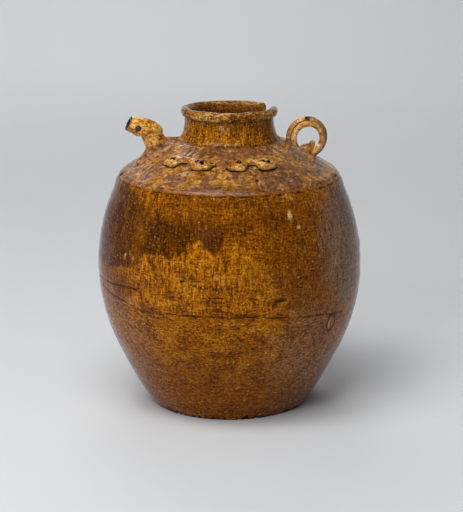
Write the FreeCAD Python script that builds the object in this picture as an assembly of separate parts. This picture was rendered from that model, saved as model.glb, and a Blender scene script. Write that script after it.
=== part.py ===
"""A glazed stoneware storage jar: a body thrown in sections and luted together, a spout shaped as an
animal's head, a ring handle of two coils and four applied scroll lugs. Each node is one piece of clay, as the
potter made it. Millimetres, +Z up, with the origin on the jar's axis where it stands."""

import FreeCAD
import Part

import math
import os

from FreeCAD import Rotation, Vector

# Outer profile of the jar: radii and insets from them, heights and rises above them
belly_radius = 145.0
belly_height = 155.0
foot_inset = 55.0
foot_band_height = 11.0
foot_blend_rise = 14.0
foot_blend_spread = 7.2
foot_bevel = 2.5
foot_side_draw = 0.6
seam_height = 129.5
upper_wall_rise = 125.0
ridge_inset = 24.2
ridge_blend_drop = 14.5
ridge_blend_spread = 5.3
ridge_draw = 1.4
ridge_bead_rise = 4.1
ridge_bead_width = 6.0
shoulder_rise = 39.0
neck_radius = 47.0
neck_foot_spread = 7.8
neck_foot_overhang = 1.2
neck_cove_rise = 4.8
neck_rise = 24.5
lip_overhang = 6.6
lip_rise = 12.0
lip_belly_rise = 6.6
lip_crest_inset = 3.8
lip_inner_draw = 2.4

# Thickness of the clay
base_thickness = 10.0
base_recess = 1.2
foot_ring_width = 11.5
base_taper = 1.8
floor_cove_rise = 16.0
lower_wall_thickness = 9.0
upper_wall_thickness = 8.0
seam_scarf_rise = 6.0
shoulder_thickness = 7.5
neck_thickness = 5.8
throat_flare = 4.0
throat_flare_rise = 3.0

# The stretch that was broken out of the lip
chip_azimuth = 22.5
chip_half_angle = 15.5
chip_flare_angle = 3.0

# Spout, drawn in the upright plane of its azimuth
spout_azimuth = 191.0
spout_place_share = 0.429
spout_neck_half_length = 11.0
spout_neck_half_width = 9.3
spout_head_rise = 24.3
spout_head_setback = 7.0
spout_head_length = 38.4
spout_head_radius = 10.0
spout_head_pitch = 17.2
spout_mouth_pitch = 27.7
spout_bore_radius = 5.0
spout_channel_lean = 7.0
spout_elbow_setback = 13.0
saddle_rise = 19.0
saddle_half_width = 11.0
# Shares of the head's length from the nape, and of its radius
spout_head_shares = [(0.0, 0.18), (0.065, 0.52), (0.143, 0.77), (0.273, 0.95), (0.404, 1.0), (0.586, 0.965),
                     (0.742, 0.91), (0.873, 0.83), (1.0, 0.745)]
# Shares of the rise to the head, of the neck's half sizes, and of its half length leant forward
spout_neck_shares = [(1.0, 1.07, 0.36), (0.75, 1.03, 0.22), (0.5, 0.95, 0.09), (0.26, 0.98, 0.0),
                     (0.08, 1.25, 0.0), (-0.10, 1.50, 0.04), (-0.30, 1.80, 0.1)]

# Eyes of the animal: a pellet in a shallow socket on each side of the head
eye_radius = 2.5
eye_forward_share = 0.70
eye_drop = 1.6
eye_depth = 0.9
eye_socket_radius = 4.2
eye_socket_depth = 1.2

# Ring handle of two coils, drawn in the upright plane of its azimuth
ring_azimuth = 11.0
ring_place_share = 0.491
ring_rise = 15.4
ring_radius = 17.0
ring_strand_radius = 4.6
ring_strand_half_width = 4.7
ring_strand_flat = 0.7
ring_foot_drop = 7.5
ring_nick_radius = 3.4
ring_nick_depth = 1.8
ring_nick_offset = 2.4
ring_wad_length_share = 0.68
ring_wad_width_share = 0.79
ring_wad_rise = 8.8
ring_knob_radius = 3.1
ring_knob_offset = 6.6

# Scroll lugs, each with two hanging lobes
lug_place_share = 0.437
lug_half_width = 9.2
lug_thickness = 4.6
lug_lift = 1.6
lug_pit_radius = 3.6
lug_pit_depth = 1.7
lug_long_length = 60.0
lug_short_length = 53.0
lug_left_azimuth = 237.9
lug_right_azimuth = 286.5
# Shares of half the length, of the half width, of the half width hung down the slope, and of the thickness
lug_shares = [(-1.0, 0.22, -0.10, 0.40), (-0.86, 0.60, 0.02, 0.85), (-0.56, 0.90, 0.14, 1.0),
              (-0.26, 0.56, -0.26, 0.95), (0.0, 0.30, -0.58, 0.85), (0.24, 0.56, -0.24, 0.95),
              (0.55, 1.0, 0.22, 1.0), (0.86, 0.66, 0.06, 0.85), (1.0, 0.22, -0.08, 0.40)]
lug_pit_shares = [(-0.58, 0.10), (0.55, 0.20)]

# How far every cutting solid runs past what it cuts
overrun = 5.0

quarter_turn = 90.0
half_turn = 180.0
full_turn = 360.0
ORIGIN = Vector(0, 0, 0)
UP = Vector(0, 0, 1)
OUTWARD = Vector(1, 0, 0)
SIDEWAYS = Vector(0, 1, 0)


def at(radius, height):
    """A point of the upright plane through azimuth zero."""
    return Vector(radius, 0, height)


def line(start, end):
    return Part.LineSegment(start, end).toShape()


def bend(start, corner, end):
    """A smooth curve that leaves the start and meets the end along the sides of the corner."""
    curve = Part.BezierCurve()
    curve.setPoles([start, corner, end])
    return curve.toShape()


def turned(edges):
    """The solid that a closed outline sweeps in one turn about the jar's axis."""
    return Part.Face(Part.Wire(edges)).revolve(ORIGIN, UP, full_turn).Solids[0]


def placed(shape, azimuth):
    """A shape drawn at azimuth zero, turned to its place round the jar."""
    shape.rotate(ORIGIN, UP, azimuth)
    return shape


def pitched(degrees):
    """The outward direction, raised by an angle."""
    return Rotation(SIDEWAYS, -degrees).multVec(OUTWARD)


def ellipse(centre, normal, across, half_across, half_other):
    """A closed elliptical wire, square to a direction, with the direction of one of its axes given."""
    other = normal.cross(across)
    if half_across > half_other:
        curve = Part.Ellipse(ORIGIN, half_across, half_other)
        turn = Rotation(across, other, normal, "ZXY")
    else:
        curve = Part.Ellipse(ORIGIN, half_other, half_across)
        turn = Rotation(other, across * -1, normal, "ZXY")
    wire = Part.Wire(curve.toShape())
    wire.Placement = FreeCAD.Placement(centre, turn)
    return wire


def ellipsoid(centre, half_length, half_width, half_height):
    ball = Part.makeSphere(1)
    stretch = FreeCAD.Matrix()
    stretch.scale(half_length, half_width, half_height)
    ball = ball.transformGeometry(stretch)
    ball.translate(centre)
    return ball


# Radii and heights that follow from the profile's sizes
bore_radius = neck_radius - neck_thickness
neck_foot_radius = neck_radius + neck_foot_spread
lip_radius = neck_radius + lip_overhang
foot_radius = belly_radius - foot_inset
foot_blend_radius = foot_radius + foot_blend_spread
foot_blend_height = foot_band_height + foot_blend_rise
ridge_radius = belly_radius - ridge_inset
ridge_height = seam_height + upper_wall_rise
ridge_blend_radius = ridge_radius + ridge_blend_spread
ridge_blend_height = ridge_height - ridge_blend_drop
ridge_edge_radius = ridge_radius - ridge_draw
neck_foot_height = ridge_height + shoulder_rise
lip_foot_height = neck_foot_height + neck_rise
jar_height = lip_foot_height + lip_rise
shoulder_fall = (shoulder_rise - ridge_bead_rise) / (ridge_edge_radius - neck_foot_radius)
shoulder_slope = math.degrees(math.atan(shoulder_fall))
shoulder_drop = shoulder_thickness / math.cos(math.atan(shoulder_fall))


def arc_radius(radius, height):
    """Radius of the arc that is upright at the belly and passes through a point of the side."""
    inset = belly_radius - radius
    return (inset ** 2 + (belly_height - height) ** 2) / (2 * inset)


lower_arc_radius = arc_radius(foot_blend_radius, foot_blend_height)
upper_arc_radius = arc_radius(ridge_blend_radius, ridge_blend_height)


def side_at(height, depth=0.0):
    """The point of the body's round side at a height, at a depth into the clay."""
    curve = lower_arc_radius if height < belly_height else upper_arc_radius
    reach = math.sqrt((curve - depth) ** 2 - (height - belly_height) ** 2)
    return at(belly_radius - curve + reach, height)


def side_edges(low, high, depth=0.0):
    """The body's round side between two heights, in an arc for each side of the belly."""
    stops = [low] + [belly_height] * (low < belly_height < high) + [high]
    edges = []
    for start, end in zip(stops, stops[1:]):
        points = [side_at(height, depth) for height in (start, (start + end) / 2, end)]
        edges.append(Part.Arc(*points).toShape())
    return edges


def tangent_at_radius(point, radius):
    """Where the tangent of the lower side at a point, followed down and in, reaches a radius."""
    arm = point - at(belly_radius - lower_arc_radius, belly_height)
    return at(radius, point.z + (point.x - radius) * arm.x / arm.z)


def shoulder_height_at(radius):
    """Height of the shoulder's sloping top at a radius."""
    return neck_foot_height - (radius - neck_foot_radius) * shoulder_fall


def shoulder_seat(place_share):
    """The point of the shoulder's top at a share of the way from the neck to the ridge."""
    radius = neck_foot_radius + (ridge_edge_radius - neck_foot_radius) * place_share
    return at(radius, shoulder_height_at(radius))


# Points that neighbouring pieces share
tread_outer = at(foot_radius - foot_bevel, 0)
tread_inner = at(foot_radius - foot_ring_width, 0)
foot_side = at(foot_radius - foot_side_draw, foot_bevel)
foot_band = at(foot_radius, foot_band_height)
foot_blend = side_at(foot_blend_height)
foot_corner = tangent_at_radius(foot_blend, foot_radius)
floor_edge = at(tread_inner.x + base_taper, base_thickness)
floor_cove = side_at(base_thickness + floor_cove_rise, lower_wall_thickness)
floor_corner = tangent_at_radius(floor_cove, floor_edge.x)
seam_outer = side_at(seam_height)
seam_inner = side_at(seam_height + seam_scarf_rise, lower_wall_thickness)
ridge_outer = at(ridge_radius, ridge_height)
ridge_inner = at(ridge_radius - upper_wall_thickness, ridge_height)
ridge_blend = side_at(ridge_blend_height)
ridge_swell = (ridge_blend + ridge_outer) / 2 + at(ridge_draw, 0)
ridge_corner = at(ridge_edge_radius, shoulder_height_at(ridge_edge_radius))
ridge_crown = at(ridge_corner.x - ridge_bead_width, shoulder_height_at(ridge_corner.x - ridge_bead_width))
neck_foot = at(neck_foot_radius, neck_foot_height)
neck_roll = at(neck_foot_radius + neck_foot_overhang, neck_foot_height)
neck_corner = at(neck_radius, neck_foot_height + neck_cove_rise)
neck_top = at(neck_radius, lip_foot_height)
throat_edge = at(bore_radius + throat_flare, neck_foot_height)


def towards(start, end, radius):
    """The point of a straight line at a radius."""
    return start + (end - start) * ((radius - start.x) / (end.x - start.x))


def foot_edges():
    """Outer outline of the foot, up to the round side of the body."""
    return [
        line(tread_outer, foot_side),
        line(foot_side, foot_band),
        bend(foot_band, foot_corner, foot_blend),
    ]


def base_disc():
    """Slab that closes the foot, let into the wall on a slight taper."""
    low = towards(tread_inner, floor_edge, tread_inner.x + base_taper * base_recess / base_thickness)
    return turned([
        line(at(0, base_recess), low),
        line(low, floor_edge),
        line(floor_edge, at(0, base_thickness)),
        line(at(0, base_thickness), at(0, base_recess)),
    ])


def lower_wall():
    """Thrown bowl from the foot to the seam, cut on a slant where the upper half sits."""
    inner = side_edges(floor_cove.z, seam_inner.z, lower_wall_thickness)
    return turned(foot_edges() + side_edges(foot_blend_height, seam_height) + [
        line(seam_outer, seam_inner),
    ] + inner[::-1] + [
        bend(floor_cove, floor_corner, floor_edge),
        line(floor_edge, tread_inner),
        line(tread_inner, tread_outer),
    ])


def upper_wall():
    """Thrown upper half from the seam to the ridge."""
    inner_foot = side_at(seam_inner.z, upper_wall_thickness)
    inner_top = side_at(ridge_blend_height, upper_wall_thickness)
    inner = side_edges(seam_inner.z, ridge_blend_height, upper_wall_thickness)
    return turned(side_edges(seam_height, ridge_blend_height) + [
        bend(ridge_blend, ridge_swell, ridge_outer),
        line(ridge_outer, ridge_inner),
        line(ridge_inner, inner_top),
    ] + inner[::-1] + [
        line(inner_foot, seam_inner),
        line(seam_inner, seam_outer),
    ])


def shoulder():
    """Sloping collar from the ridge to the neck."""
    inner_foot = at(neck_foot_radius + (shoulder_rise - shoulder_drop) / shoulder_fall, ridge_height)
    inner_top = at(throat_edge.x, shoulder_height_at(throat_edge.x) - shoulder_drop)
    return turned([
        bend(ridge_outer, ridge_corner, ridge_crown),
        line(ridge_crown, neck_foot),
        line(neck_foot, throat_edge),
        line(throat_edge, inner_top),
        line(inner_top, inner_foot),
        line(inner_foot, ridge_outer),
    ])


def neck():
    """Thrown neck with a straight round bore, flared a little at its foot."""
    bore_top = at(bore_radius, lip_foot_height)
    bore_foot = at(bore_radius, neck_foot_height + throat_flare_rise)
    return turned([
        bend(neck_roll, neck_corner, neck_top),
        line(neck_top, bore_top),
        line(bore_top, bore_foot),
        line(bore_foot, throat_edge),
        line(throat_edge, neck_roll),
    ])


def whole_lip():
    """Rolled lip on the flat top of the neck, before its loss."""
    belly = at(lip_radius, lip_foot_height + lip_belly_rise)
    crest = at(lip_radius - lip_crest_inset, jar_height)
    inner_foot = at(bore_radius, lip_foot_height)
    return turned([
        bend(neck_top, at(lip_radius, lip_foot_height), belly),
        bend(belly, at(lip_radius, jar_height), crest),
        bend(crest, at(bore_radius + lip_inner_draw, jar_height), inner_foot),
        line(inner_foot, neck_top),
    ])


def chip():
    """Wedge that was broken out of the lip, wider at its top than at the joint."""
    outlines = []
    near = bore_radius - overrun
    far = lip_radius + overrun
    for height, half_angle in [(lip_foot_height, chip_half_angle),
                               (jar_height + overrun, chip_half_angle + chip_flare_angle)]:
        stretch = 1 / math.cos(math.radians(half_angle))
        corners = []
        for radius, side in [(near, -1), (far, -1), (far, 1), (near, 1)]:
            corner = Rotation(UP, chip_azimuth + side * half_angle).multVec(OUTWARD * radius * stretch)
            corners.append(corner + UP * height)
        outlines.append(Part.makePolygon(corners + corners[:1]))
    return Part.makeLoft(outlines, True, True)


def filled_jar():
    """Everything inside the jar's outer surface, on which the applied pieces are seated."""
    side = side_edges(foot_blend_height, ridge_blend_height)
    return turned([line(ORIGIN, tread_outer)] + foot_edges() + side + [
        bend(ridge_blend, ridge_swell, ridge_outer),
        bend(ridge_outer, ridge_corner, ridge_crown),
        line(ridge_crown, neck_foot),
        line(neck_foot, neck_roll),
        bend(neck_roll, neck_corner, neck_top),
        line(neck_top, at(0, lip_foot_height)),
        line(at(0, lip_foot_height), ORIGIN),
    ])


# Places that the spout's pieces share
spout_seat = shoulder_seat(spout_place_share)
nape = spout_seat + at(-spout_head_setback, spout_head_rise)
head_direction = pitched(spout_head_pitch)
snout = nape + head_direction * spout_head_length
elbow = nape + head_direction * spout_elbow_setback


def head_form():
    """Outside of the animal's head, from the nape to the slanted face of the open mouth."""
    along = head_direction * spout_head_length
    across = pitched(spout_head_pitch + quarter_turn) * spout_head_radius
    points = [nape + along * length_share + across * radius_share
              for length_share, radius_share in spout_head_shares]
    back = Part.BSplineCurve()
    back.interpolate(points)
    outline = Part.Wire([line(nape, points[0]), back.toShape(), line(points[-1], snout), line(snout, nape)])
    form = Part.Face(outline).revolve(nape, head_direction, full_turn).Solids[0]
    slant = math.radians(spout_mouth_pitch - spout_head_pitch)
    mouth = snout - head_direction * ((points[-1] - snout).Length * math.sin(slant))
    beyond = Part.makeCylinder(spout_head_length, spout_head_length, mouth, pitched(spout_mouth_pitch))
    return form.cut(beyond)


def spout_channel():
    """Pouring channel: in at the mouth, round an elbow in the head and down into the jar."""
    along = Part.makeCylinder(spout_bore_radius, spout_head_length, elbow, head_direction)
    down = Rotation(SIDEWAYS, spout_channel_lean).multVec(UP * -1)
    length = elbow.z - spout_seat.z + 2 * shoulder_drop + overrun
    return along.fuse(Part.makeCylinder(spout_bore_radius, length, elbow, down)).fuse(
        Part.makeSphere(spout_bore_radius, elbow))


def eye_place(side):
    """Where the surface of the head lies beside an eye."""
    centre = nape + head_direction * (spout_head_length * eye_forward_share) - UP * eye_drop
    return centre + SIDEWAYS * (side * spout_head_radius * spout_head_shares[6][1])


def eye(side):
    """Round pellet pressed into the side of the head."""
    return Part.makeSphere(eye_radius, eye_place(side) - SIDEWAYS * (side * eye_depth))


def eye_socket(side):
    """Shallow hollow round a pellet."""
    centre = eye_place(side) + SIDEWAYS * (side * (eye_socket_radius - eye_socket_depth))
    return Part.makeSphere(eye_socket_radius, centre)


def spout_neck_form():
    """Animal's neck, its flared root and the saddle of clay that ties it to the neck of the jar."""
    sections = []
    for up, size, lean in spout_neck_shares:
        centre = spout_seat + at(spout_neck_half_length * lean, spout_head_rise * up)
        half_length = spout_neck_half_length * size
        sections.append(ellipse(centre, UP, OUTWARD, half_length, spout_neck_half_width * size))
    column = Part.makeLoft(sections, True, False)
    start = at(bore_radius, spout_seat.z - shoulder_drop)
    section = ellipse(start, OUTWARD, SIDEWAYS, saddle_half_width, saddle_rise + shoulder_drop)
    saddle = Part.Face(section).extrude(OUTWARD * (spout_seat.x - bore_radius))
    return column.fuse(saddle)


# Places that the ring's pieces share
ring_seat = shoulder_seat(ring_place_share)
ring_centre = ring_seat + UP * ring_rise
ring_foot_depth = ring_radius + ring_foot_drop
ring_eye_radius = ring_radius - ring_strand_radius


def ring_strand(side):
    """One coil of the ring, flattened against the other: a round bow and two legs that meet at its foot."""
    opening = math.degrees(math.acos(ring_radius / ring_foot_depth))
    offset = SIDEWAYS * (side * (ring_strand_half_width - ring_strand_flat))
    centre = ring_centre + offset
    foot = centre - UP * ring_foot_depth
    start = Rotation(SIDEWAYS, quarter_turn - opening).multVec(OUTWARD * ring_radius)
    leg = foot - centre - start
    section = ellipse(centre + start, leg.normalize(), SIDEWAYS, ring_strand_half_width, ring_strand_radius)
    face = Part.Face(section)
    leg_length = math.sqrt(ring_foot_depth ** 2 - ring_radius ** 2)
    first_leg = face.extrude(leg * leg_length)
    bow = face.revolve(centre, SIDEWAYS, 2 * opening - full_turn)
    second_leg = first_leg.mirror(centre, OUTWARD)
    coil = bow.fuse([first_leg, second_leg])
    reach = ring_radius + ring_foot_depth
    low_side = 0 if side > 0 else -reach
    half_space = Part.makeBox(2 * reach, reach, 2 * reach, ring_centre + Vector(-reach, low_side, -reach))
    return coil.common(half_space)


def ring_nick():
    """Shallow scar on top of the ring."""
    height = ring_radius + ring_strand_radius + ring_nick_radius - ring_nick_depth
    return Part.makeSphere(ring_nick_radius, ring_centre + Vector(0, -ring_nick_offset, height))


def ring_wad():
    """Wad of clay that the ring is pressed into, with a knob on its outer side."""
    half_length = ring_eye_radius * ring_wad_length_share
    half_width = 2 * ring_strand_half_width * ring_wad_width_share
    wad = ellipsoid(ring_seat, half_length, half_width, ring_wad_rise)
    return wad.fuse(Part.makeSphere(ring_knob_radius, ring_seat + at(ring_knob_offset, ring_wad_rise)))


def scroll_lug(length):
    """Strip of clay with two hanging lobes, laid along the shoulder about azimuth zero."""
    seat = shoulder_seat(lug_place_share)
    down = pitched(-shoulder_slope)
    out = pitched(quarter_turn - shoulder_slope)
    half_spread = math.degrees(length / 2 / seat.x)
    sections = []
    for along, width, drop, thickness in lug_shares:
        centre = seat + down * (lug_half_width * drop) + out * lug_lift
        section = ellipse(centre, SIDEWAYS, down, lug_half_width * width, lug_thickness * thickness)
        sections.append(placed(section, half_spread * along))
    strip = Part.makeLoft(sections, True, False)
    for along, drop in lug_pit_shares:
        centre = seat + down * (lug_half_width * drop)
        centre += out * (lug_lift + lug_thickness + lug_pit_radius - lug_pit_depth)
        strip = strip.cut(placed(Part.makeSphere(lug_pit_radius, centre), half_spread * along))
    return strip


def scroll_lugs():
    """The four lugs by name: a long and a short one on the front, and the same pair again on the back."""
    lugs = {}
    for place, turn in [("front", 0), ("back", half_turn)]:
        for hand, azimuth, length in [("left", lug_left_azimuth, lug_long_length),
                                      ("right", lug_right_azimuth, lug_short_length)]:
            lugs["scroll_lug_" + place + "_" + hand] = placed(scroll_lug(length), azimuth + turn)
    return lugs


def build():
    """Every node's shape by name."""
    jar = filled_jar()
    channel = placed(spout_channel(), spout_azimuth)
    head = placed(head_form(), spout_azimuth)
    sides = {"spout_eye_near": 1, "spout_eye_far": -1}
    eyes = {name: placed(eye(side), spout_azimuth) for name, side in sides.items()}
    hollow_head = head.cut(channel)
    for name, side in sides.items():
        hollow_head = hollow_head.cut(placed(eye_socket(side), spout_azimuth)).cut(eyes[name])
    front = placed(ring_strand(-1), ring_azimuth).cut(jar)
    back = placed(ring_strand(1), ring_azimuth).cut(jar)

    nodes = {
        "base_disc": base_disc(),
        "lower_wall": lower_wall(),
        "upper_wall": upper_wall(),
        "shoulder": shoulder().cut(channel),
        "neck": neck(),
        "lip": whole_lip().cut(chip()),
        "spout_neck": placed(spout_neck_form(), spout_azimuth).cut([jar, head, channel]),
        "spout_head": hollow_head,
        "ring_wad": placed(ring_wad(), ring_azimuth).cut([jar, front, back]),
        "ring_front_strand": front.cut(placed(ring_nick(), ring_azimuth)),
        "ring_back_strand": back,
    }
    nodes.update(eyes)
    for name, lug in scroll_lugs().items():
        nodes[name] = lug.cut(jar)
    return nodes


def main():
    os.makedirs("parts", exist_ok=True)
    for name, shape in build().items():
        shape.exportStep("parts/" + name + ".step")
        state = "valid" if shape.isValid() else "NOT VALID"
        print(name, len(shape.Solids), "solids", state, round(shape.Volume), "mm3")


main()
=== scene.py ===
"""Looks of a glazed stoneware storage jar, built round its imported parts: thrown walls with turning marks,
drips and scars, an animal spout, a ring of two coils and scroll lugs, on a pale sweep under soft light.
Sizes are in millimetres and angles in degrees from the front, plus to the right, until a mesh is made."""

import itertools
import math
from types import SimpleNamespace

import bpy
import mathutils
import numpy as np
import openvdb
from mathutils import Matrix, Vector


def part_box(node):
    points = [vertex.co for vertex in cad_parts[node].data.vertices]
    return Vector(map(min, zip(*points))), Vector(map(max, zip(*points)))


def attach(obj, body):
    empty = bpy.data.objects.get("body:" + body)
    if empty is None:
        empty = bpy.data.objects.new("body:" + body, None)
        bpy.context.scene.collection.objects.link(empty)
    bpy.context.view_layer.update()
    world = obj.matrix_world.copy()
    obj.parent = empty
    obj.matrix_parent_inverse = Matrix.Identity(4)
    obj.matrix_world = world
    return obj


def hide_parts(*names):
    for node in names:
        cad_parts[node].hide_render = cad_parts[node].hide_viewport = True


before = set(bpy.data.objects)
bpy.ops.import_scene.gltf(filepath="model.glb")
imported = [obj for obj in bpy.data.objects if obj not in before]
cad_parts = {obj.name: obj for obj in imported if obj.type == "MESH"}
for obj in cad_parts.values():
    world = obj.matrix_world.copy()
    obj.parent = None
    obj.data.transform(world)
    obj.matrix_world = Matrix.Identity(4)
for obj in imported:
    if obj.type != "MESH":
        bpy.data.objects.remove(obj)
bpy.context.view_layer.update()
MM = 0.001

# Sizes from the frame
belly_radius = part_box("upper_wall")[1].y / MM
ridge_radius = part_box("shoulder")[1].y / MM
ridge_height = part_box("shoulder")[0].z / MM
neck_foot_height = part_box("neck")[0].z / MM
lip_foot_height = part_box("lip")[0].z / MM
lip_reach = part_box("lip")[1].y / MM
jar_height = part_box("lip")[1].z / MM
base_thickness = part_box("base_disc")[1].z / MM
base_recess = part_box("base_disc")[0].z / MM

# Outline of the thrown pieces
belly_height = 155.0
foot_inset = 55.0
foot_bevel = 2.5
foot_side_draw = 1.0
foot_band_height = 4.5
foot_blend_height = 60.0
foot_corner_height = 30.0
foot_corner_spread = 16.9
foot_blend_spread = 7.2
foot_spread_height = 25.0
foot_ring_width = 11.5
base_taper = 1.8
base_unevenness = 0.35
floor_cove_height = 26.0
seam_height = 129.5
seam_scarf_rise = 6.0
ridge_blend_drop = 14.5
ridge_blend_spread = 5.3
ridge_draw = 1.4
ridge_bead_rise = 3.2
ridge_bead_width = 2.8
neck_radius = 48.3
neck_foot_spread = 6.5
neck_foot_overhang = 1.2
neck_cove_rise = 4.8
neck_thickness = 7.1
neck_cove_spreads = ((3.0, 3.2), (9.0, 0.8))
lip_wear = 1.1
throat_flare = 4.0
throat_flare_rise = 3.0
lip_belly_rise = 6.6
lip_crest_inset = 3.8
lip_inner_draw = 2.4
lower_wall_thickness = 9.0
upper_wall_thickness = 8.0
shoulder_thickness = 7.5

# The stretch broken out of the lip
chip_angle = 112.5
chip_half_angle = 15.5
chip_flare_angle = 3.0
chip_jag_angle = 0.9

# Steps of the meshes, and the angle from which an edge is sharp
turn_steps = 720
outer_step = 1.3
inner_step = 4.0
form_voxel = 0.55
sharp_angle = 38.0

random = np.random.default_rng(11)
# Distances in millimetres over which the painted tones come in, the painted shade in the mouth, eyes, coils
# and lug gaps among them, and heights for the tones of the body
fades = {
    "dark_foot_edge": (0.8, 3.6), "drip_edge": (-1.5, 4.5), "drip_top": (-4.0, 19.0), "below_seam": (136, 124),
    "low_shade": (100, 30), "lit_rim": (-7.0, -2.5), "ridge_rim": (2.2, 3.4), "channel": (-0.2, 1.0),
    "mouth": (0.3, 1.3), "eye": (-0.2, 1.5), "nick": (1.8, 3.4), "meeting": (0.3, 2.2),
    "strand_foot": (1.0, 5.0), "strand_shade": (6.0, 15.0), "wad_foot": (0.6, 3.0), "lug_gap": (0.8, 2.8),
    "lug_slope": (0.0, 6.0),
}
# How far the hollow where two forms meet is filled, or a cut's edge is rounded, in millimetres
blends = {
    "head": 1.5, "brow": 2.2, "cheek": 3.0, "jaw": 3.0, "mouth": 0.6, "muzzle": 0.8, "eye": 0.7, "lips": 0.6,
    "channel": 0.4, "strands": 0.6, "nick": 0.5, "knob": 2.0, "cone": 1.2, "lug": 1.6, "lug_rim": 1.8,
    "lug_pit": 0.7, "lug_gap": 0.5,
}
# Large numbers that turn a cell's place and a seed into a random value
cell_factors = (73856093, 19349663, 83492791)
seed_factor = 2654435
mixing_factor = 1274126177
seed_shift = 17.3
value_range = 0xFFFF


def smooth_step(low, high, value):
    """Zero below the low value, one above the high one, and a smooth rise between them."""
    share = np.clip((value - low) / (high - low), 0, 1)
    return share * share * (3 - 2 * share)


def faded(name, value):
    """How far a tone has come in, from 0 to 1, over the distances that its name has."""
    return smooth_step(*fades[name], value)


def noise(points, size, seed):
    """Smooth random values from -1 to 1 that vary over about the size, at points in rows."""
    cells = points / size + seed * seed_shift
    low = np.floor(cells)
    part = smooth_step(0, 1, cells - low)
    low = low.astype(np.int64)
    total = np.zeros(len(points))
    for corner in itertools.product((0, 1), repeat=3):
        across, along, up = ((low + corner) * cell_factors).T
        mixed = across ^ along ^ up ^ seed * seed_factor
        mixed = (mixed ^ (mixed >> 13)) * mixing_factor
        value = ((mixed ^ (mixed >> 16)) & value_range) / (value_range / 2) - 1
        total += value * np.prod(np.where(corner, part, 1 - part), axis=1)
    return total


def waves(points, layers):
    """A sum of noises, each given by its strength, its size and its seed."""
    return sum(strength * noise(points, size, seed) for strength, size, seed in layers)


def rough(points, size, seed, layers=3):
    """Noise with finer layers on top."""
    total = np.zeros(len(points))
    for layer in range(layers):
        total += noise(points, size / 2 ** layer, seed + layer) / 2 ** layer
    return total / (2 - 2 ** (1 - layers))


# Outline curves, each a row of points of radius and height
def line(start, end):
    return [start, end]


def lines(*points):
    """Straight curves from each point to the next."""
    return [line(start, end) for start, end in zip(points, points[1:])]


def bend(start, corner, end, pieces=24):
    """A smooth curve that leaves the start and meets the end along the sides of the corner."""
    share = np.linspace(0, 1, pieces + 1)[:, None]
    start, corner, end = np.array(start), np.array(corner), np.array(end)
    return list(map(tuple, start * (1 - share) ** 2 + corner * 2 * share * (1 - share) + end * share ** 2))


def arc_radius(radius, height):
    """Radius of the arc that is upright at the belly and passes through a point of the side."""
    inset = belly_radius - radius
    return (inset ** 2 + (belly_height - height) ** 2) / (2 * inset)


foot_radius = belly_radius - foot_inset
ridge_blend_height = ridge_height - ridge_blend_drop
lower_arc = arc_radius(foot_radius + foot_blend_spread, foot_spread_height)
upper_arc = arc_radius(ridge_radius + ridge_blend_spread, ridge_blend_height)


def side_at(height, depth=0.0):
    """The point of the body's round side at a height, at a depth into the clay."""
    curve = lower_arc if height < belly_height else upper_arc
    inset = curve - math.sqrt((curve - depth) ** 2 - (height - belly_height) ** 2)
    return (belly_radius - inset, height)


def side(low, high, depth=0.0, pieces=60):
    """The body's round side between two heights."""
    return [side_at(height, depth) for height in np.linspace(low, high, pieces + 1)]


neck_foot_radius = neck_radius + neck_foot_spread
ridge_edge_radius = ridge_radius - ridge_draw
shoulder_rise = neck_foot_height - ridge_height
shoulder_fall = (shoulder_rise - ridge_bead_rise) / (ridge_edge_radius - neck_foot_radius)
shoulder_drop = shoulder_thickness * math.sqrt(1 + shoulder_fall ** 2)
bore_radius = neck_radius - neck_thickness


def shoulder_height(radius):
    """The height of the shoulder's top at a radius."""
    return neck_foot_height - (radius - neck_foot_radius) * shoulder_fall


def tangent_at_radius(point, radius):
    """Where the tangent of the lower side at a point, followed down and in, reaches a radius."""
    across, up = point[0] - belly_radius + lower_arc, point[1] - belly_height
    return (radius, point[1] + (point[0] - radius) * across / up)


tread_outer = (foot_radius - foot_bevel, 0.0)
tread_inner = (foot_radius - foot_ring_width, 0.0)
foot_side = (foot_radius - foot_side_draw, foot_bevel)
foot_band = (foot_radius, foot_band_height)
foot_corner = (foot_radius + foot_corner_spread, foot_corner_height)
foot_blend = side_at(foot_blend_height)
floor_edge = (tread_inner[0] + base_taper, base_thickness)
floor_cove = side_at(floor_cove_height, lower_wall_thickness)
seam_outer = side_at(seam_height)
seam_inner = side_at(seam_height + seam_scarf_rise, lower_wall_thickness)
ridge_outer = (ridge_radius, ridge_height)
ridge_inner = (ridge_radius - upper_wall_thickness, ridge_height)
ridge_blend = side_at(ridge_blend_height)
ridge_swell = ((ridge_blend[0] + ridge_outer[0]) / 2 + ridge_draw, (ridge_blend[1] + ridge_outer[1]) / 2)
ridge_corner = (ridge_edge_radius, shoulder_height(ridge_edge_radius))
ridge_crown = (ridge_corner[0] - ridge_bead_width, shoulder_height(ridge_corner[0] - ridge_bead_width))
neck_foot = (neck_foot_radius, neck_foot_height)
neck_roll = (neck_foot_radius + neck_foot_overhang, neck_foot_height)
neck_corner = (neck_radius, neck_foot_height + neck_cove_rise)
neck_top = (neck_radius, lip_foot_height)
shoulder_low = (neck_foot_radius + (shoulder_rise - shoulder_drop) / shoulder_fall, ridge_height)
throat_edge = (bore_radius + throat_flare, neck_foot_height)
throat_low = (throat_edge[0], shoulder_height(throat_edge[0]) - shoulder_drop)
throat_foot = (bore_radius, neck_foot_height + throat_flare_rise)
lip_radius = lip_reach - lip_wear
lip_belly = (lip_radius, lip_foot_height + lip_belly_rise)
lip_crest = (lip_radius - lip_crest_inset, jar_height)
lip_inner = (bore_radius, lip_foot_height)


def lengths_along(points):
    """How far along a row of points each of them lies."""
    return np.concatenate([[0], np.cumsum(np.linalg.norm(np.diff(points, axis=0), axis=1))])


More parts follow.
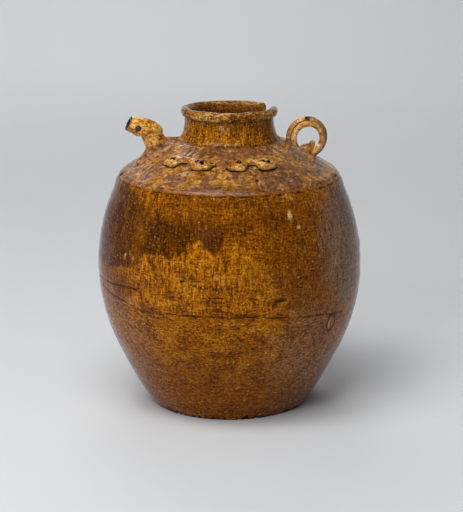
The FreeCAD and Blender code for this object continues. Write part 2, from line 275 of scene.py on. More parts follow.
def stepped(points, step):
    """A row of points set out evenly along an open outline, both of its ends kept."""
    points = np.array(points)
    lengths = lengths_along(points)
    places = np.linspace(0, lengths[-1], max(2, round(lengths[-1] / step) + 1))
    return np.stack([np.interp(places, lengths, points[:, axis]) for axis in (0, 1)], axis=1)


def normals_of(points):
    """Directions square to a row of points, to the right of its course."""
    course = np.gradient(points, axis=0)
    course /= np.linalg.norm(course, axis=1)[:, None]
    return np.stack([course[:, 1], -course[:, 0]], axis=1)


# Marks on the outer surface: places in degrees from the front and heights in millimetres
bead_groove_height = ridge_height + 3.4
joint_groove_height = ridge_height - 1.2
# Grooves: where each starts and ends, its height at both ends, its depth and its half width
grooves = [
    (-180, 180, 129.6, 129.6, 0.35, 0.9), (-28, 14, 130.8, 131.2, 1.2, 0.8),
    (-80, -28, 127.2, 128.6, 0.3, 0.9), (14, 60, 129.8, 118.5, 1.0, 0.8),
    (-78, -41, 147.5, 151.2, 1.0, 1.0), (-78, -44, 142.8, 131.0, 1.0, 1.0),
    (-41, -26, 151.2, 150.2, 0.4, 0.9), (-10, 13, 151.2, 150.0, 0.8, 0.8), (19, 25, 147.4, 146.6, 1.0, 1.3),
    (29, 48, 148.2, 150.8, 0.5, 0.7), (33, 44, 206.8, 207.4, 0.45, 0.6), (43, 53, 207.4, 209.0, 0.45, 0.6),
    (60, 180, 143.0, 150.0, 0.4, 0.9), (-180, -75, 141.0, 147.0, 0.4, 0.9),
    (-27, -18, 172.0, 166.2, 0.9, 0.7), (-18, -10, 166.2, 160.0, 0.9, 0.7),
    (-180, 180, bead_groove_height, bead_groove_height, 0.5, 0.9), (-180, 180, 11.5, 11.5, 0.4, 1.0),
    (-30, 60, 20.0, 21.5, 0.35, 0.8), (-60, 20, 27.0, 25.0, 0.3, 0.9), (-25, 50, 15.5, 16.0, 0.3, 0.8),
    (-180, 180, 318.2, 318.2, 0.45, 0.9), (-180, 180, 294.4, 294.4, 0.6, 0.9),
    (-180, 180, joint_groove_height, joint_groove_height, 0.7, 0.8),
]
# Dents and lumps: place, half size along and up, and rise
dents = [
    (-19.3, 167.2, 3.0, 2.0, -1.2), (-12.0, 161.2, 2.6, 2.0, -1.3), (26.2, 252.5, 4.5, 2.6, -1.4),
    (75.3, 258.5, 6.0, 2.6, -1.6), (25.4, 159.3, 4.8, 4.4, 1.5), (50.9, 110.3, 4.2, 8.0, -0.9),
    (37.7, 40.2, 2.8, 2.2, -1.2), (-45.2, 4.0, 13.0, 3.0, -1.1), (12.3, 2.6, 2.6, 3.2, -1.8),
    (30.8, 277.6, 2.4, 1.6, 1.2), (-80.0, 257.0, 5.0, 3.4, -1.6), (-81.0, 261.5, 3.5, 2.0, 1.0),
    (-2.9, 173.5, 3.6, 2.2, -0.5), (-0.1, 188.9, 2.2, 1.8, -0.5), (16.5, 264.0, 2.6, 2.0, -0.6),
    (-40.0, 133.0, 5.0, 6.0, -0.5), (-24.7, 148.8, 4.5, 3.6, -0.4), (29.0, 232.9, 2.0, 5.4, 0.4),
    (-50.4, 185.0, 1.6, 4.0, -0.6), (-8.0, 309.0, 4.0, 4.5, 0.5), (120.0, 96.0, 6.0, 5.0, -0.8),
    (150.0, 205.0, 5.0, 4.0, -0.7), (-140.0, 62.0, 5.0, 3.0, -0.9),
]
# The dark glaze place by place round the jar: its lower edge, its upper end and its strength
drips = [
    (-180, 182, 262, 1), (-160, 171, 262, 1), (-141, 188, 258, 1), (-120, 176, 262, 1), (-104, 190, 262, 1),
    (-90, 176, 262, 1), (-78, 166, 262, 1), (-63.5, 162, 262, 1), (-54, 170, 261, 0.98),
    (-48, 170, 258, 0.8), (-43, 175, 254, 0.6), (-37.5, 190, 244, 0.86), (-33, 190.5, 240, 0.92),
    (-28.2, 191, 237, 0.94), (-25.7, 187.5, 236, 0.9), (-23, 192.5, 238, 0.9), (-19.9, 196, 240, 0.9),
    (-17.8, 203.4, 240, 0.86), (-14.3, 208, 238, 0.8), (-11.2, 204, 236, 0.8), (-8.9, 198, 234, 0.8),
    (-6.4, 197, 234, 0.8), (-3.9, 202, 236, 0.75), (1, 219, 238, 0.42), (7, 216, 240, 0.42),
    (14, 224, 243, 0.4), (21.4, 213, 246, 0.55), (29, 224, 243, 0.4), (38, 221, 246, 0.38),
    (52, 228, 250, 0.5), (70, 205, 262, 0.7), (90, 178, 262, 0.85), (108, 186, 258, 1), (127, 168, 262, 1),
    (146, 181, 262, 1), (163, 172, 262, 1), (180, 182, 262, 1),
]
# Patches of other tones: place, half size in degrees and in millimetres of height, and strength
gold_patches = [
    (-38, 226, 4.0, 20, 0.35), (-48, 232, 3, 20, 0.3), (-14.3, 199, 2.0, 9, 0.5),
    (-46.8, 186, 1.1, 7.5, 1.0), (-50.4, 185, 0.9, 4.5, 1.0), (-33, 180, 10, 13, 0.35),
    (-6, 186, 12, 10, 0.25), (5, 168, 22, 14, 0.2), (-17, 163, 9, 6, 0.65), (-3, 172, 4, 8, 0.7),
    (0, 188, 3.5, 6, 0.5), (-25, 143, 5, 5, 0.7), (-12, 141, 3, 3, 0.7), (31, 250, 2.2, 5, 0.85),
    (43, 244, 9, 11, 0.5), (26.5, 247.6, 1.6, 2.0, 1.0), (34.5, 216, 1.2, 4.0, 0.8), (-5, 271, 34, 9, 0.3),
]
purple_patches = [
    (-10.3, 211, 3.8, 14, 0.5), (-24.7, 148.8, 2.6, 4.5, 0.8), (-40, 134, 5, 7, 0.55),
    (-6.7, 218.6, 1.4, 3.5, 0.8), (33.6, 265, 5.5, 5, 0.95), (30, 272, 8, 5, 0.6),
    (-41.9, 181, 1.6, 2.5, 0.9), (22, 147, 3, 2.5, 0.6), (-36, 132, 2.5, 6, 0.7),
]
scar_patches = [
    (-2.9, 173.5, 1.1, 1.3, 0.6), (-0.1, 188.9, 0.8, 1.1, 0.55), (29, 232.9, 1.5, 6.0, 0.7),
    (32.6, 220.2, 1.1, 2.2, 0.8), (16.5, 264, 1.0, 1.1, 0.8), (49.9, 108.0, 1.2, 6.0, 0.75),
    (26.2, 250.5, 1.2, 1.2, 0.5), (-24.4, 4.0, 9, 3.0, 0.35), (30.9, 277.8, 1.0, 1.0, 0.8),
    (25.4, 162.0, 1.0, 1.2, 0.5), (-50.3, 185, 0.45, 3.4, 0.8),
]
# Patches of painted sheen on the sides, standing for the reflection of the bright room
sheen_grey_patches = [(66, 185, 26, 78, 0.62), (46, 84, 36, 66, 0.36), (-60, 95, 30, 60, 0.34)]
stuck_patches = [(-10.0, 311.5, 4.5, 3.6, 0.60), (-6.0, 308.0, 3.6, 3.0, 0.55), (-10.5, 305.5, 2.4, 2.6, 0.5)]
# Dark patches: painted shade in the dents, pits and notches, and a few dark streaks and spots of the glaze
shade_and_streak_patches = [
    (-46, 3.2, 9, 2.2, 0.4), (12.3, 2.4, 1.8, 3.0, 0.5), (-19.3, 168.3, 1.0, 1.5, 1.0),
    (-12, 162.4, 0.9, 1.5, 1.0), (16.5, 266.0, 1.1, 1.5, 0.9), (37.7, 41, 1.3, 1.8, 1.0),
    (22, 147, 1.8, 1.1, 0.55), (50.9, 116.5, 1.5, 1.2, 0.7), (-80, 257.0, 2.4, 3.0, 0.9),
    (21.4, 228, 0.8, 16, 0.55), (7.4, 219, 0.6, 8, 0.5), (-37, 235, 1.2, 3, 0.5),
]
# Deeper amber: the glaze's own deeper patches, and painted shade on the jar's right side, away from the key
# light
deep_and_shade_patches = [
    (-72, 170, 12, 26, 0.9), (-66, 120, 9, 30, 0.3), (31, 205, 22, 70, 0.85), (36, 150, 16, 36, 0.6),
    (0, 252, 38, 13, 0.75), (14, 236, 14, 20, 0.8), (-60, 152, 17, 26, 0.85), (8, 214, 22, 20, 0.4),
    (-8, 232, 16, 14, 0.4), (-26, 232, 24, 16, 0.75), (2, 180, 14, 14, 0.3), (46, 215, 12, 44, 0.5),
]
patch_edge = (0.55, 1.25)
# An oval scar with a dark outline: place and half sizes
ringed_scar = (50.9, 110.5, 2.7, 9.5)

# Unevenness of the surface, in layers: depth, size and seed
lump_layers = [(0.40, 62.0, 1), (0.22, 17.0, 2), (0.10, 5.5, 3)]
ring_layers = [(0.16, 4.6, 4), (0.10, 2.3, 5)]
low_ring_layers = [(0.12, 3.1, 6)]
low_scratch_layers = [(0.10, 2.4, 7)]
wander_layers = [(0.9, 26.0, 8), (0.4, 7.0, 9)]
groove_layers = [(0.65, 9.0, 10)]
dent_layers = [(0.25, 2.4, 12)]
shoulder_layers = [(0.45, 13.0, 14)]
drag_layers = [(0.55, 2.0, 13)]
# Unevenness of the tones, in layers: reach, size and seed
turn_layers = [(2.2, 9.0, 31)]
rise_layers = [(2.5, 9.0, 32)]
fine_streak_layers = [(3.5, 3.4, 33)]
broad_streak_layers = [(3.0, 7.0, 34)]
dark_foot_edge_layers = [(3.6, 5.0, 35)]
# Where the throwing rings of the low body end, where the shoulder's own unevenness starts and ends, and
# the sides of the smear by the spout, in its form and in its tone
low_body_top = (150, 175)
shoulder_start = (ridge_height + 3, ridge_height + 7)
shoulder_end = (neck_foot_height - 3, neck_foot_height)
smear_sides = ((-34, -48), (-140, -120))
drag_sides = ((-30, -46), (-150, -120))
# Chips along the foot: size, depth and the heights over which they fade
chip_size = 9.0
chip_depth = 1.5
chip_fade = (2.0, 9.0)
chip_limits = (0.22, 0.5)


def measured(places, patches):
    """Strength at each place of a list of soft oval patches."""
    degrees, height = places
    total = np.zeros(len(degrees))
    for middle, level, half_turn, half_rise, strength in patches:
        reach = np.hypot(turned_from(middle, degrees) / half_turn, (height - level) / half_rise)
        total = np.maximum(total, strength * (1 - smooth_step(*patch_edge, reach)))
    return total


def turned_from(middle, degrees):
    """The turn from a middle to each place, from -180 to 180 degrees."""
    return (degrees - middle + 180) % 360 - 180


def round_places(degrees, course):
    """Places unrolled onto the belly's radius, with the course along the outline as their height."""
    turn = np.radians(degrees)
    return np.stack([belly_radius * np.sin(turn), -belly_radius * np.cos(turn), course], axis=1)


def groove_depth(degrees, height, round_points):
    """How deep the seams, joints and scratches are cut at places round the jar."""
    wander = waves(round_points * [1, 1, 0.02], wander_layers)
    strength = np.clip(0.62 + waves(round_points * [1, 1, 0.1], groove_layers), 0.12, 1.25)
    total = np.zeros(len(degrees))
    for start, end, start_height, end_height, depth, half_width in grooves:
        share = (degrees - start) / (end - start)
        level = start_height + (end_height - start_height) * share
        soft_end = 1.0
        if end - start < 360:
            soft_end = smooth_step(-0.02, 0.06, share) * smooth_step(-0.02, 0.06, 1 - share)
        loose = wander if start_height < ridge_blend_height else 0.25 * wander
        total += depth * strength * soft_end * np.exp(-((height - level - loose) / half_width) ** 2)
    return total


def dent_rise(degrees, height, round_points):
    """How far the dents and lumps sink or raise the surface at places round the jar."""
    total = np.zeros(len(degrees))
    ragged = 1 + waves(round_points, dent_layers)
    for middle, level, half_along, half_up, rise in dents:
        away = np.radians(turned_from(middle, degrees)) * belly_radius
        reach = np.hypot(away / half_along, (height - level) / half_up) * ragged
        total += rise * (1 - smooth_step(0.35, 1.1, reach))
    return total


def relief(degrees, height, course):
    """How far the outer surface stands out at places round the jar, in millimetres."""
    round_points = round_places(degrees, course)
    rings = round_points * [0.06, 0.06, 1.0]
    scratches = round_points * [0.25, 0.25, 1]
    low_body = 1 - smooth_step(*low_body_top, height)
    depth = waves(round_points, lump_layers) + waves(rings, ring_layers)
    depth += low_body * (waves(rings, low_ring_layers) + waves(scratches, low_scratch_layers))
    depth += dent_rise(degrees, height, round_points) - groove_depth(degrees, height, round_points)
    chips = rough(round_points * [1, 1, 0.6], chip_size, 15) * (1 - smooth_step(*chip_fade, height))
    depth -= chip_depth * smooth_step(*chip_limits, chips)
    on_shoulder = smooth_step(*shoulder_start, height) * (1 - smooth_step(*shoulder_end, height))
    drag = waves(np.stack([degrees * 0.9, height * 0.06, height * 0], axis=1), drag_layers)
    near_spout = smooth_step(*smear_sides[0], degrees) * smooth_step(*smear_sides[1], degrees)
    return depth + on_shoulder * (waves(round_points, shoulder_layers) + near_spout * drag)


# The thrown pieces share one outer outline, cut at their joints
outer_parts = {
    "lower_wall": (line(tread_outer, foot_side) + line(foot_side, foot_band)[1:]
                   + bend(foot_band, foot_corner, foot_blend)[1:]
                   + side(foot_blend_height, seam_height)[1:]),
    "upper_wall": side(seam_height, ridge_blend_height) + bend(ridge_blend, ridge_swell, ridge_outer)[1:],
    "shoulder": bend(ridge_outer, ridge_corner, ridge_crown) + line(ridge_crown, neck_foot)[1:],
    "neck": bend(neck_roll, neck_corner, neck_top),
    "lip": (bend(neck_top, (lip_radius, lip_foot_height), lip_belly)
            + bend(lip_belly, (lip_radius, jar_height), lip_crest)[1:]
            + bend(lip_crest, (bore_radius + lip_inner_draw, jar_height), lip_inner)[1:]),
}
inner_parts = {
    "lower_wall": [
        line(seam_outer, seam_inner), side(seam_inner[1], floor_cove[1], lower_wall_thickness),
        bend(floor_cove, tangent_at_radius(floor_cove, floor_edge[0]), floor_edge),
        *lines(floor_edge, tread_inner, tread_outer)],
    "upper_wall": [
        *lines(ridge_outer, ridge_inner, side_at(ridge_blend_height, upper_wall_thickness)),
        side(ridge_blend_height, seam_inner[1], upper_wall_thickness),
        *lines(side_at(seam_inner[1], upper_wall_thickness), seam_inner, seam_outer)],
    "shoulder": lines(neck_foot, throat_edge, throat_low, shoulder_low, ridge_outer),
    "neck": lines(neck_top, lip_inner, throat_foot, throat_edge, neck_roll),
    "lip": lines(lip_inner, neck_top),
}


def outline_rows(name, course_start):
    """Rows of a thrown piece round its section: radius, height, outward normal, course and outer or not."""
    rows = []
    outer = stepped(outer_parts[name], outer_step)
    outward = normals_of(outer)
    lengths = lengths_along(outer)
    for point, normal, length in zip(outer, outward, lengths):
        rows.append((*point, *normal, course_start + length, 1.0))
    for part in inner_parts[name]:
        for point in stepped(part, inner_step)[1:]:
            rows.append((*point, 0.0, 0.0, 0.0, 0.0))
    return np.array(rows[:-1]), course_start + lengths[-1]


def new_mesh(name, points, faces, fields):
    """A smooth mesh object in metres, with values at its points for the material."""
    mesh = bpy.data.meshes.new(name)
    mesh.from_pydata((np.asarray(points) * MM).tolist(), [], faces)
    for field, values in fields.items():
        attribute = mesh.attributes.new(field, "FLOAT", "POINT")
        attribute.data.foreach_set("value", np.asarray(values, np.float32))
    mesh.validate()
    mesh.shade_smooth()
    mesh.set_sharp_from_angle(angle=math.radians(sharp_angle))
    piece = bpy.data.objects.new(name, mesh)
    bpy.context.scene.collection.objects.link(piece)
    return piece


def dark_share(degrees, height, streaks):
    """How much dark glaze lies at places round the jar, between its running edge and its upper end."""
    places, edges, tops, shares = zip(*drips)
    edge, top, share = [np.interp(degrees, places, values) for values in (edges, tops, shares)]
    above = faded("drip_edge", height - edge - streaks)
    return share * above * faded("drip_top", top - height + streaks * 2.0)


def scar_outline(degrees, height, round_points):
    """The dark line round the ringed scar, lost in places."""
    middle, level, half_turn, half_rise = ringed_scar
    reach = np.hypot((degrees - middle) / half_turn, (height - level) / half_rise) - 1
    kept = smooth_step(-0.9, 0.3, noise(round_points, 4.0, 36) + 0.4)
    return 0.7 * np.exp(-(reach / 0.24) ** 2) * kept


def surface_fields(degrees, height, course, outer, out):
    """Tones of the glaze at places round the jar, painted shade and sheen among them."""
    round_points = round_places(degrees, course)
    places = (degrees + waves(round_points, turn_layers), height + waves(round_points, rise_layers))
    streaks = waves(round_points * [1, 1, 0.05], fine_streak_layers)
    streaks += waves(round_points * [1, 1, 0.2], broad_streak_layers)
    low = faded("below_seam", height + 3 * streaks)
    # Darker along the foot's bottom edge
    dark_foot_edge = 1 - faded("dark_foot_edge", height + waves(round_points, dark_foot_edge_layers))
    lit_rim = 1 - 0.75 * faded("lit_rim", height - jar_height)
    scars = np.maximum(measured((degrees, height), scar_patches), measured(places, stuck_patches))
    low_shade = low * (0.28 + 0.60 * faded("low_shade", height))
    outline = scar_outline(degrees, height, round_points)
    tones = {
        "dark": dark_share(degrees, height, streaks),
        "gold": measured(places, gold_patches),
        "purple": measured(places, purple_patches),
        "scar": scars,
        "low": low,
        "grey_sheen": measured(places, sheen_grey_patches),
        "deep": np.maximum(measured(places, deep_and_shade_patches), low_shade),
        "pit": np.maximum(measured(places, shade_and_streak_patches), 0.7 * dark_foot_edge),
        "rim": 1 - faded("ridge_rim", height - ridge_height),
        # Grooves darkened: the seams' own dark, and painted shade in the creases under the ridge and at the
        # neck's foot
        "crease": np.maximum(groove_depth(degrees, height, round_points), outline),
    }
    tones = {name: values * outer for name, values in tones.items()}
    # Painted shade inside the jar and on faces turned inward, less near the lit rim
    tones["inner"] = (1 - outer * (1 - 0.85 * smooth_step(0.15, -0.5, out))) * lit_rim
    tones["drag"] = outer * smooth_step(*drag_sides[0], degrees) * smooth_step(*drag_sides[1], degrees) + 0.25
    tones["hollow"] = np.zeros(len(degrees))
    return tones


def closing_faces(rows, columns, wraps):
    """Quads between the columns of a closed outline, all the way round or from one end to the other."""
    faces = []
    last = columns if wraps else columns - 1
    for column in range(last):
        ahead = (column + 1) % columns
        for row in range(rows):
            below = (row + 1) % rows
            here, there = column * rows, ahead * rows
            faces.append((here + row, there + row, there + below, here + below))
    return faces


def round_rows(rows, degrees):
    """Rows of a section repeated at every place round the jar: each column, one value per place."""
    return [np.tile(column, len(degrees) // len(rows)) for column in rows.T]


def thrown(name, course_start):
    """One thrown piece as a closed mesh, with its turning marks."""
    rows, course_end = outline_rows(name, course_start)
    count = len(rows)
    degrees = np.repeat(np.linspace(-180, 180, turn_steps, endpoint=False), count)
    radius, height, out, up, course, outer = round_rows(rows, degrees)
    rise = relief(degrees, height, course) * outer
    points = ring_points(degrees, radius + out * rise, height + up * rise)
    fields = surface_fields(degrees, height, course, outer, out)
    return new_mesh(name + "_glazed", points, closing_faces(count, turn_steps, True), fields), course_end


def ring_points(degrees, radius, height):
    """Points round the jar, kept inside its greatest radius and height."""
    turn = np.radians(degrees)
    radius = np.clip(radius, 0, belly_radius)
    height = np.clip(height, 0, jar_height)
    return np.stack([radius * np.sin(turn), -radius * np.cos(turn), height], axis=1)


def lip_dip(degrees):
    """How far the lip's top sinks at places round it, most of all at the back."""
    places = np.stack([degrees * 0.9, degrees * 0, degrees * 0], axis=1)
    return 0.35 * noise(places, 14.0, 41) - 1.95 + np.cos(np.radians(degrees))


def broken_lip(course_start):
    """The lip as a closed mesh that ends at two rough broken faces."""
    rows = outline_rows("lip", course_start)[0]
    count = len(rows)
    share = np.linspace(0, 1, turn_steps)
    height_share = (rows[:, 1] - lip_foot_height) / (jar_height - lip_foot_height)
    half_angle = chip_half_angle + chip_flare_angle * height_share
    jag = random.uniform(-chip_jag_angle, chip_jag_angle, (2, count))
    start = chip_angle + half_angle + jag[0]
    end = chip_angle + 360 - half_angle + jag[1]
    degrees = turned_from(0, start + (end - start) * share[:, None]).ravel()
    radius, height, out, up, course, outer = round_rows(rows, degrees)
    rise = relief(degrees, height, course) * outer
    dip = lip_dip(degrees) * smooth_step(0.4, 1.0, np.tile(height_share, turn_steps))
    points = ring_points(degrees, radius + out * rise, height + up * rise + dip)
    fields = surface_fields(degrees, height, course, outer, out)
    faces = closing_faces(count, turn_steps, False)
    first = tuple(range(count))
    last = tuple((turn_steps - 1) * count + row for row in reversed(range(count)))
    return new_mesh("lip_glazed", points, faces + [first, last], fields)


def base_slab():
    """The slab that closes the foot, a little uneven underneath."""
    low_radius = tread_inner[0] + base_taper * base_recess / base_thickness
    section = line((0.0, base_recess), (low_radius, base_recess)) + line(floor_edge, (0.0, base_thickness))
    under, side_rows, top = [stepped(section[first:first + 2], inner_step) for first in range(3)]
    ring = np.concatenate([under[1:], side_rows[1:-1], top[:-1]])
    columns = turn_steps // 4
    points = [(0, 0, base_recess), (0, 0, base_thickness)]
    faces = []
    for column in range(columns):
        turn = math.tau * column / columns
        points += [(radius * math.sin(turn), -radius * math.cos(turn), height) for radius, height in ring]
    count = len(ring)
    for column in range(columns):
        here, ahead = 2 + column * count, 2 + (column + 1) % columns * count
        faces.append((0, ahead, here))
        faces.append((1, here + count - 1, ahead + count - 1))
        faces += [(here + row, ahead + row, ahead + row + 1, here + row + 1) for row in range(count - 1)]
    points = np.array(points, float)
    below = points[:, 2] <= base_recess
    points[:, 2] += below * base_unevenness * (1 + noise(points, 12.0, 44))
    # The slab's top, inside the jar, takes the painted shade of the inside
    return new_mesh("base_disc_clay", points, faces, {"inner": 1 - below})


# Solid forms as distances, negative inside
def ball(points, middle, radius):
    return np.linalg.norm(points - middle, axis=-1) - radius


def oval(points, middle, half_sizes):
    scaled = (points - middle) / half_sizes
    reach = np.linalg.norm(scaled, axis=-1)
    slope = np.linalg.norm(scaled / half_sizes, axis=-1)
    return reach * (reach - 1) / np.maximum(slope, 1e-6)


def rod(points, start, end, start_radius, end_radius):
    """A rod with round ends whose radius changes along it."""
    start, end = np.array(start, float), np.array(end, float)
    along = end - start
    share = np.clip(((points - start) @ along) / (along @ along), 0, 1)
    radius = start_radius + (end_radius - start_radius) * share
    return np.linalg.norm(points - start - share[..., None] * along, axis=-1) - radius


def joined(first, second, blend):
    """Two forms with the hollow between them filled over a blend."""
    share = np.clip(0.5 + 0.5 * (second - first) / blend, 0, 1)
    return second + (first - second) * share - blend * share * (1 - share)


def carved(form, tool, blend):
    """A form with a tool's form cut out of it."""
    return -joined(-form, tool, blend)


def rod_chain(points, stations, blend):
    """Rods from one station to the next, each a point and a radius."""
    total = None
    for (start, start_radius), (end, end_radius) in zip(stations, stations[1:]):
        piece = rod(points, start, end, start_radius, end_radius)
        total = piece if total is None else joined(total, piece, blend)
    return total


# How thin a foot is spread over the jar, and how deep one form is pressed into another
spread_thickness = 0.2
press_depth = 0.4
# The hollow at the neck's foot: heights above it and how far it stands out from the neck there
neck_cove = ((0.0, neck_foot_spread), *neck_cove_spreads, (lip_foot_height - neck_foot_height, 0.0))


def jar_distance(points):
    """Distance from the shoulder's and the neck's surface, negative inside."""
    radius, height = np.hypot(points[..., 0], points[..., 1]), points[..., 2]
    cone = (height - shoulder_height(radius)) / math.sqrt(1 + shoulder_fall ** 2)
    rises, spreads = zip(*neck_cove)
    cove = neck_radius + np.interp(height - neck_foot_height, rises, spreads)
    return np.minimum(cone, np.maximum(radius - cove, height - lip_foot_height))


def spread_on_jar(points, form, reach, blend):
    """A form whose foot is spread over the jar, up to a reach."""
    spread = joined(form, jar_distance(points) + spread_thickness, blend)
    return np.maximum(spread, form - reach)


# How deep the applied forms sit in the jar, and how far out from their surface the wrinkles are worked out
bed_depth = 1.1
wrinkle_reach = 3.0


def formed(name, form, low, high, turn, tones=None, wrinkle=0.22, voxel=form_voxel):
    """The closed surface of a form between two corners, seated in the jar and turned to its place."""
    axes = [np.arange(low[axis], high[axis], voxel) for axis in range(3)]
    grid = np.stack(np.meshgrid(*axes, indexing="ij"), axis=-1)
    flat = grid.reshape(-1, 3)
    values = form(grid).reshape(-1)
    near = np.abs(values) < wrinkle_reach
    values[near] += wrinkle * rough(flat[near], 5.0, 51) + 0.4 * wrinkle * noise(flat[near], 1.8, 55)
    values = np.maximum(values.reshape(grid.shape[:3]), -jar_distance(grid) - bed_depth)
    volume = openvdb.FloatGrid(3 * voxel)
    values = np.clip(values, -3 * voxel, 3 * voxel).astype(np.float32)
    volume.copyFromArray(values, ijk=(0, 0, 0), tolerance=0.0)
    points, faces = volume.convertToQuads(0.0)
    points = points * voxel + np.array(low)
    fields = tones(points) if tones else {}
    angle = math.radians(turn)
    cosine, sine = math.cos(angle), math.sin(angle)
    spin = np.array([[cosine, sine, 0], [-sine, cosine, 0], [0, 0, 1]])
    points = points @ spin
    fields["hollow"] = hollowness(points, faces)
    return new_mesh(name, points, faces[:, ::-1].tolist(), fields)


# How often the surface is smoothed to find its hollows, and the depth of a full one
hollow_rounds = 6
hollow_depth = 0.35


def hollowness(points, faces):
    """How far each point lies in a hollow, positive, or on a rise, negative."""
    links = np.concatenate([faces[:, [0, 1]], faces[:, [1, 2]], faces[:, [2, 3]], faces[:, [3, 0]]])
    links = np.concatenate([links, links[:, ::-1]])
    count = np.maximum(np.bincount(links[:, 0], minlength=len(points)), 1)[:, None]
    smoothed = points.copy()
    for _ in range(hollow_rounds):
        total = np.zeros_like(smoothed)
        np.add.at(total, links[:, 0], smoothed[links[:, 1]])
        smoothed = total / count
    corners = points[faces]
    face_normals = np.cross(corners[:, 2] - corners[:, 0], corners[:, 3] - corners[:, 1])
    normals = np.zeros_like(points)
    for corner in range(4):
        np.add.at(normals, faces[:, corner], face_normals)
    normals /= np.maximum(np.linalg.norm(normals, axis=1)[:, None], 1e-9)
    middle = points.mean(axis=0)
    if ((points - middle) * normals).sum() < 0:
        normals = -normals
    return ((smoothed - points) * normals).sum(axis=1) / hollow_depth


def raised(degrees):
    """The outward direction, raised by an angle, in the upright plane of a piece."""
    return np.array([math.cos(math.radians(degrees)), 0.0, math.sin(math.radians(degrees))])


def seat_at(share):
    """The point of the shoulder's top at a share of the way from the neck to the ridge."""
    radius = neck_foot_radius + (ridge_edge_radius - neck_foot_radius) * share
    return np.array([radius, 0.0, shoulder_height(radius)])


SIDEWAYS = np.array([0.0, 1.0, 0.0])
UP = np.array([0.0, 0.0, 1.0])
OUTWARD = np.array([1.0, 0.0, 0.0])

# Spout
spout_azimuth = 191.0
spout_seat = seat_at(0.429)
head_rise = 24.3
head_setback = 7.0
head_length = 38.4
head_radius = 10.0
head_pitch = 17.2
mouth_pitch = 27.7
bore = 5.0
channel_lean = 7.0
elbow_setback = 13.0
spout_half_length = 11.0
spout_half_width = 9.3
saddle_rise = 19.0
saddle_half_width = 11.0
root_spread = 5.0
eye_radius = 2.5
pellet_radius = 2.4
eye_forward_share = 0.70
eye_station = 4
eye_drop = 1.6
eye_depth = 0.9
eye_socket_radius = 4.2
eye_socket_depth = 1.2
# Places on the head: shares of its length, and of its radius in size
head_shares = [(0.143, 0.77), (0.273, 0.95), (0.404, 1.0), (0.586, 0.965), (0.742, 0.91), (0.873, 0.83),
               (1.06, 0.71)]
# Places on the head: shares of its length, and of its radius to the side and upward
brow_shares = [(0.50, 0.66, 0.56), (0.72, 0.74, 0.40), (0.92, 0.60, 0.42)]
brow_radii = (1.2, 1.9, 1.1)
cheek_shares = (0.52, 0.62, -0.45)
cheek_radius = 4.6
jaw_shares = (0.70, 0.0, -0.62)
jaw_radius = 4.4
lip_line_shares = [(0.80, 0.80, -0.46), (1.02, 0.62, -0.40)]
lip_line_radii = (0.5, 0.8)
mouth_setback_share = 0.745
# Places up the spout's neck: shares of the head's rise, of the neck's size and of its lean outward
spout_shares = [(-0.30, 1.75, 0.1), (-0.10, 1.42, 0.04), (0.08, 1.12, 0.0), (0.26, 0.88, 0.0),
                (0.5, 0.90, 0.09), (0.75, 1.02, 0.22), (1.0, 1.10, 0.36)]
# The brown at the neck's root: how far it reaches below the nape, its slope, its fade, and how far behind
# the nape it starts and is full
root_reach = 8.5
root_slope = 0.45
root_fade = 2.0
root_setbacks = (4.0, 9.0)

nape = spout_seat - OUTWARD * head_setback + UP * head_rise
forward = raised(head_pitch)
snout = nape + forward * head_length
elbow = nape + forward * elbow_setback
mouth_setback = head_radius * mouth_setback_share * math.sin(math.radians(mouth_pitch - head_pitch))
mouth = snout - forward * mouth_setback


def on_head(along, out=0.0, up=0.0):
    """A place on the head: shares of its length, and of its radius to the side and upward."""
    return nape + forward * head_length * along + (SIDEWAYS * out + UP * up) * head_radius


def channel(points):
    """The pouring channel: in at the mouth, round an elbow and down into the jar."""
    lean = math.radians(channel_lean)
    down = elbow - np.array([math.sin(lean), 0.0, math.cos(lean)]) * (head_rise + 3 * shoulder_drop)
    out = rod(points, elbow, snout + forward * bore, bore, bore)
    return np.minimum(out, rod(points, elbow, down, bore, bore))


def head_outside(points):
    """The animal's head: a blunt muzzle with brows, cheeks and jaw."""
    stations = [(on_head(along), head_radius * size) for along, size in head_shares]
    form = rod_chain(points, stations, blends["head"])
    for hand in (-1, 1):
        brow = [on_head(along, hand * out, up) for along, out, up in brow_shares]
        halves = [rod(points, *brow[half:half + 2], *brow_radii[half:half + 2]) for half in (0, 1)]
        form = joined(form, np.minimum(*halves), blends["brow"])
        along, out, up = cheek_shares
        cheek = ball(points, on_head(along, hand * out, up), cheek_radius)
        form = joined(form, cheek, blends["cheek"])
    return joined(form, ball(points, on_head(*jaw_shares), jaw_radius), blends["jaw"])


def head(points):
    """The head with its mouth cut open, its eye sockets and the lines of its lips."""
    form = head_outside(points)
    form = carved(form, (mouth - points) @ raised(mouth_pitch), blends["mouth"])
    form = carved(form, channel(points), blends["muzzle"])
    for hand in (-1, 1):
        place = eye_place(hand) + SIDEWAYS * hand * (eye_socket_radius - eye_socket_depth)
        form = carved(form, ball(points, place, eye_socket_radius), blends["eye"])
        lips = [on_head(along, hand * out, up) for along, out, up in lip_line_shares]
        form = carved(form, rod(points, *lips, *lip_line_radii), blends["lips"])
    return form


def head_tones(points):
    """Painted shade inside the mouth and in the eye sockets."""
    dark = 1 - faded("channel", channel(points))
    dark = np.maximum(dark, 0.75 * (1 - faded("mouth", (mouth - points) @ raised(mouth_pitch))))
    for hand in (-1, 1):
        away = np.linalg.norm(points - eye_place(hand), axis=1) - eye_radius
        dark = np.maximum(dark, 0.9 * (1 - faded("eye", away)))
    stain = rough(points, 6.0, 61)
    stained, pale = 0.5 * smooth_step(0.22, 0.5, stain), 0.9 * smooth_step(0.2, -0.2, stain)
    return {"pit": dark, "dark": stained, "gold": pale}


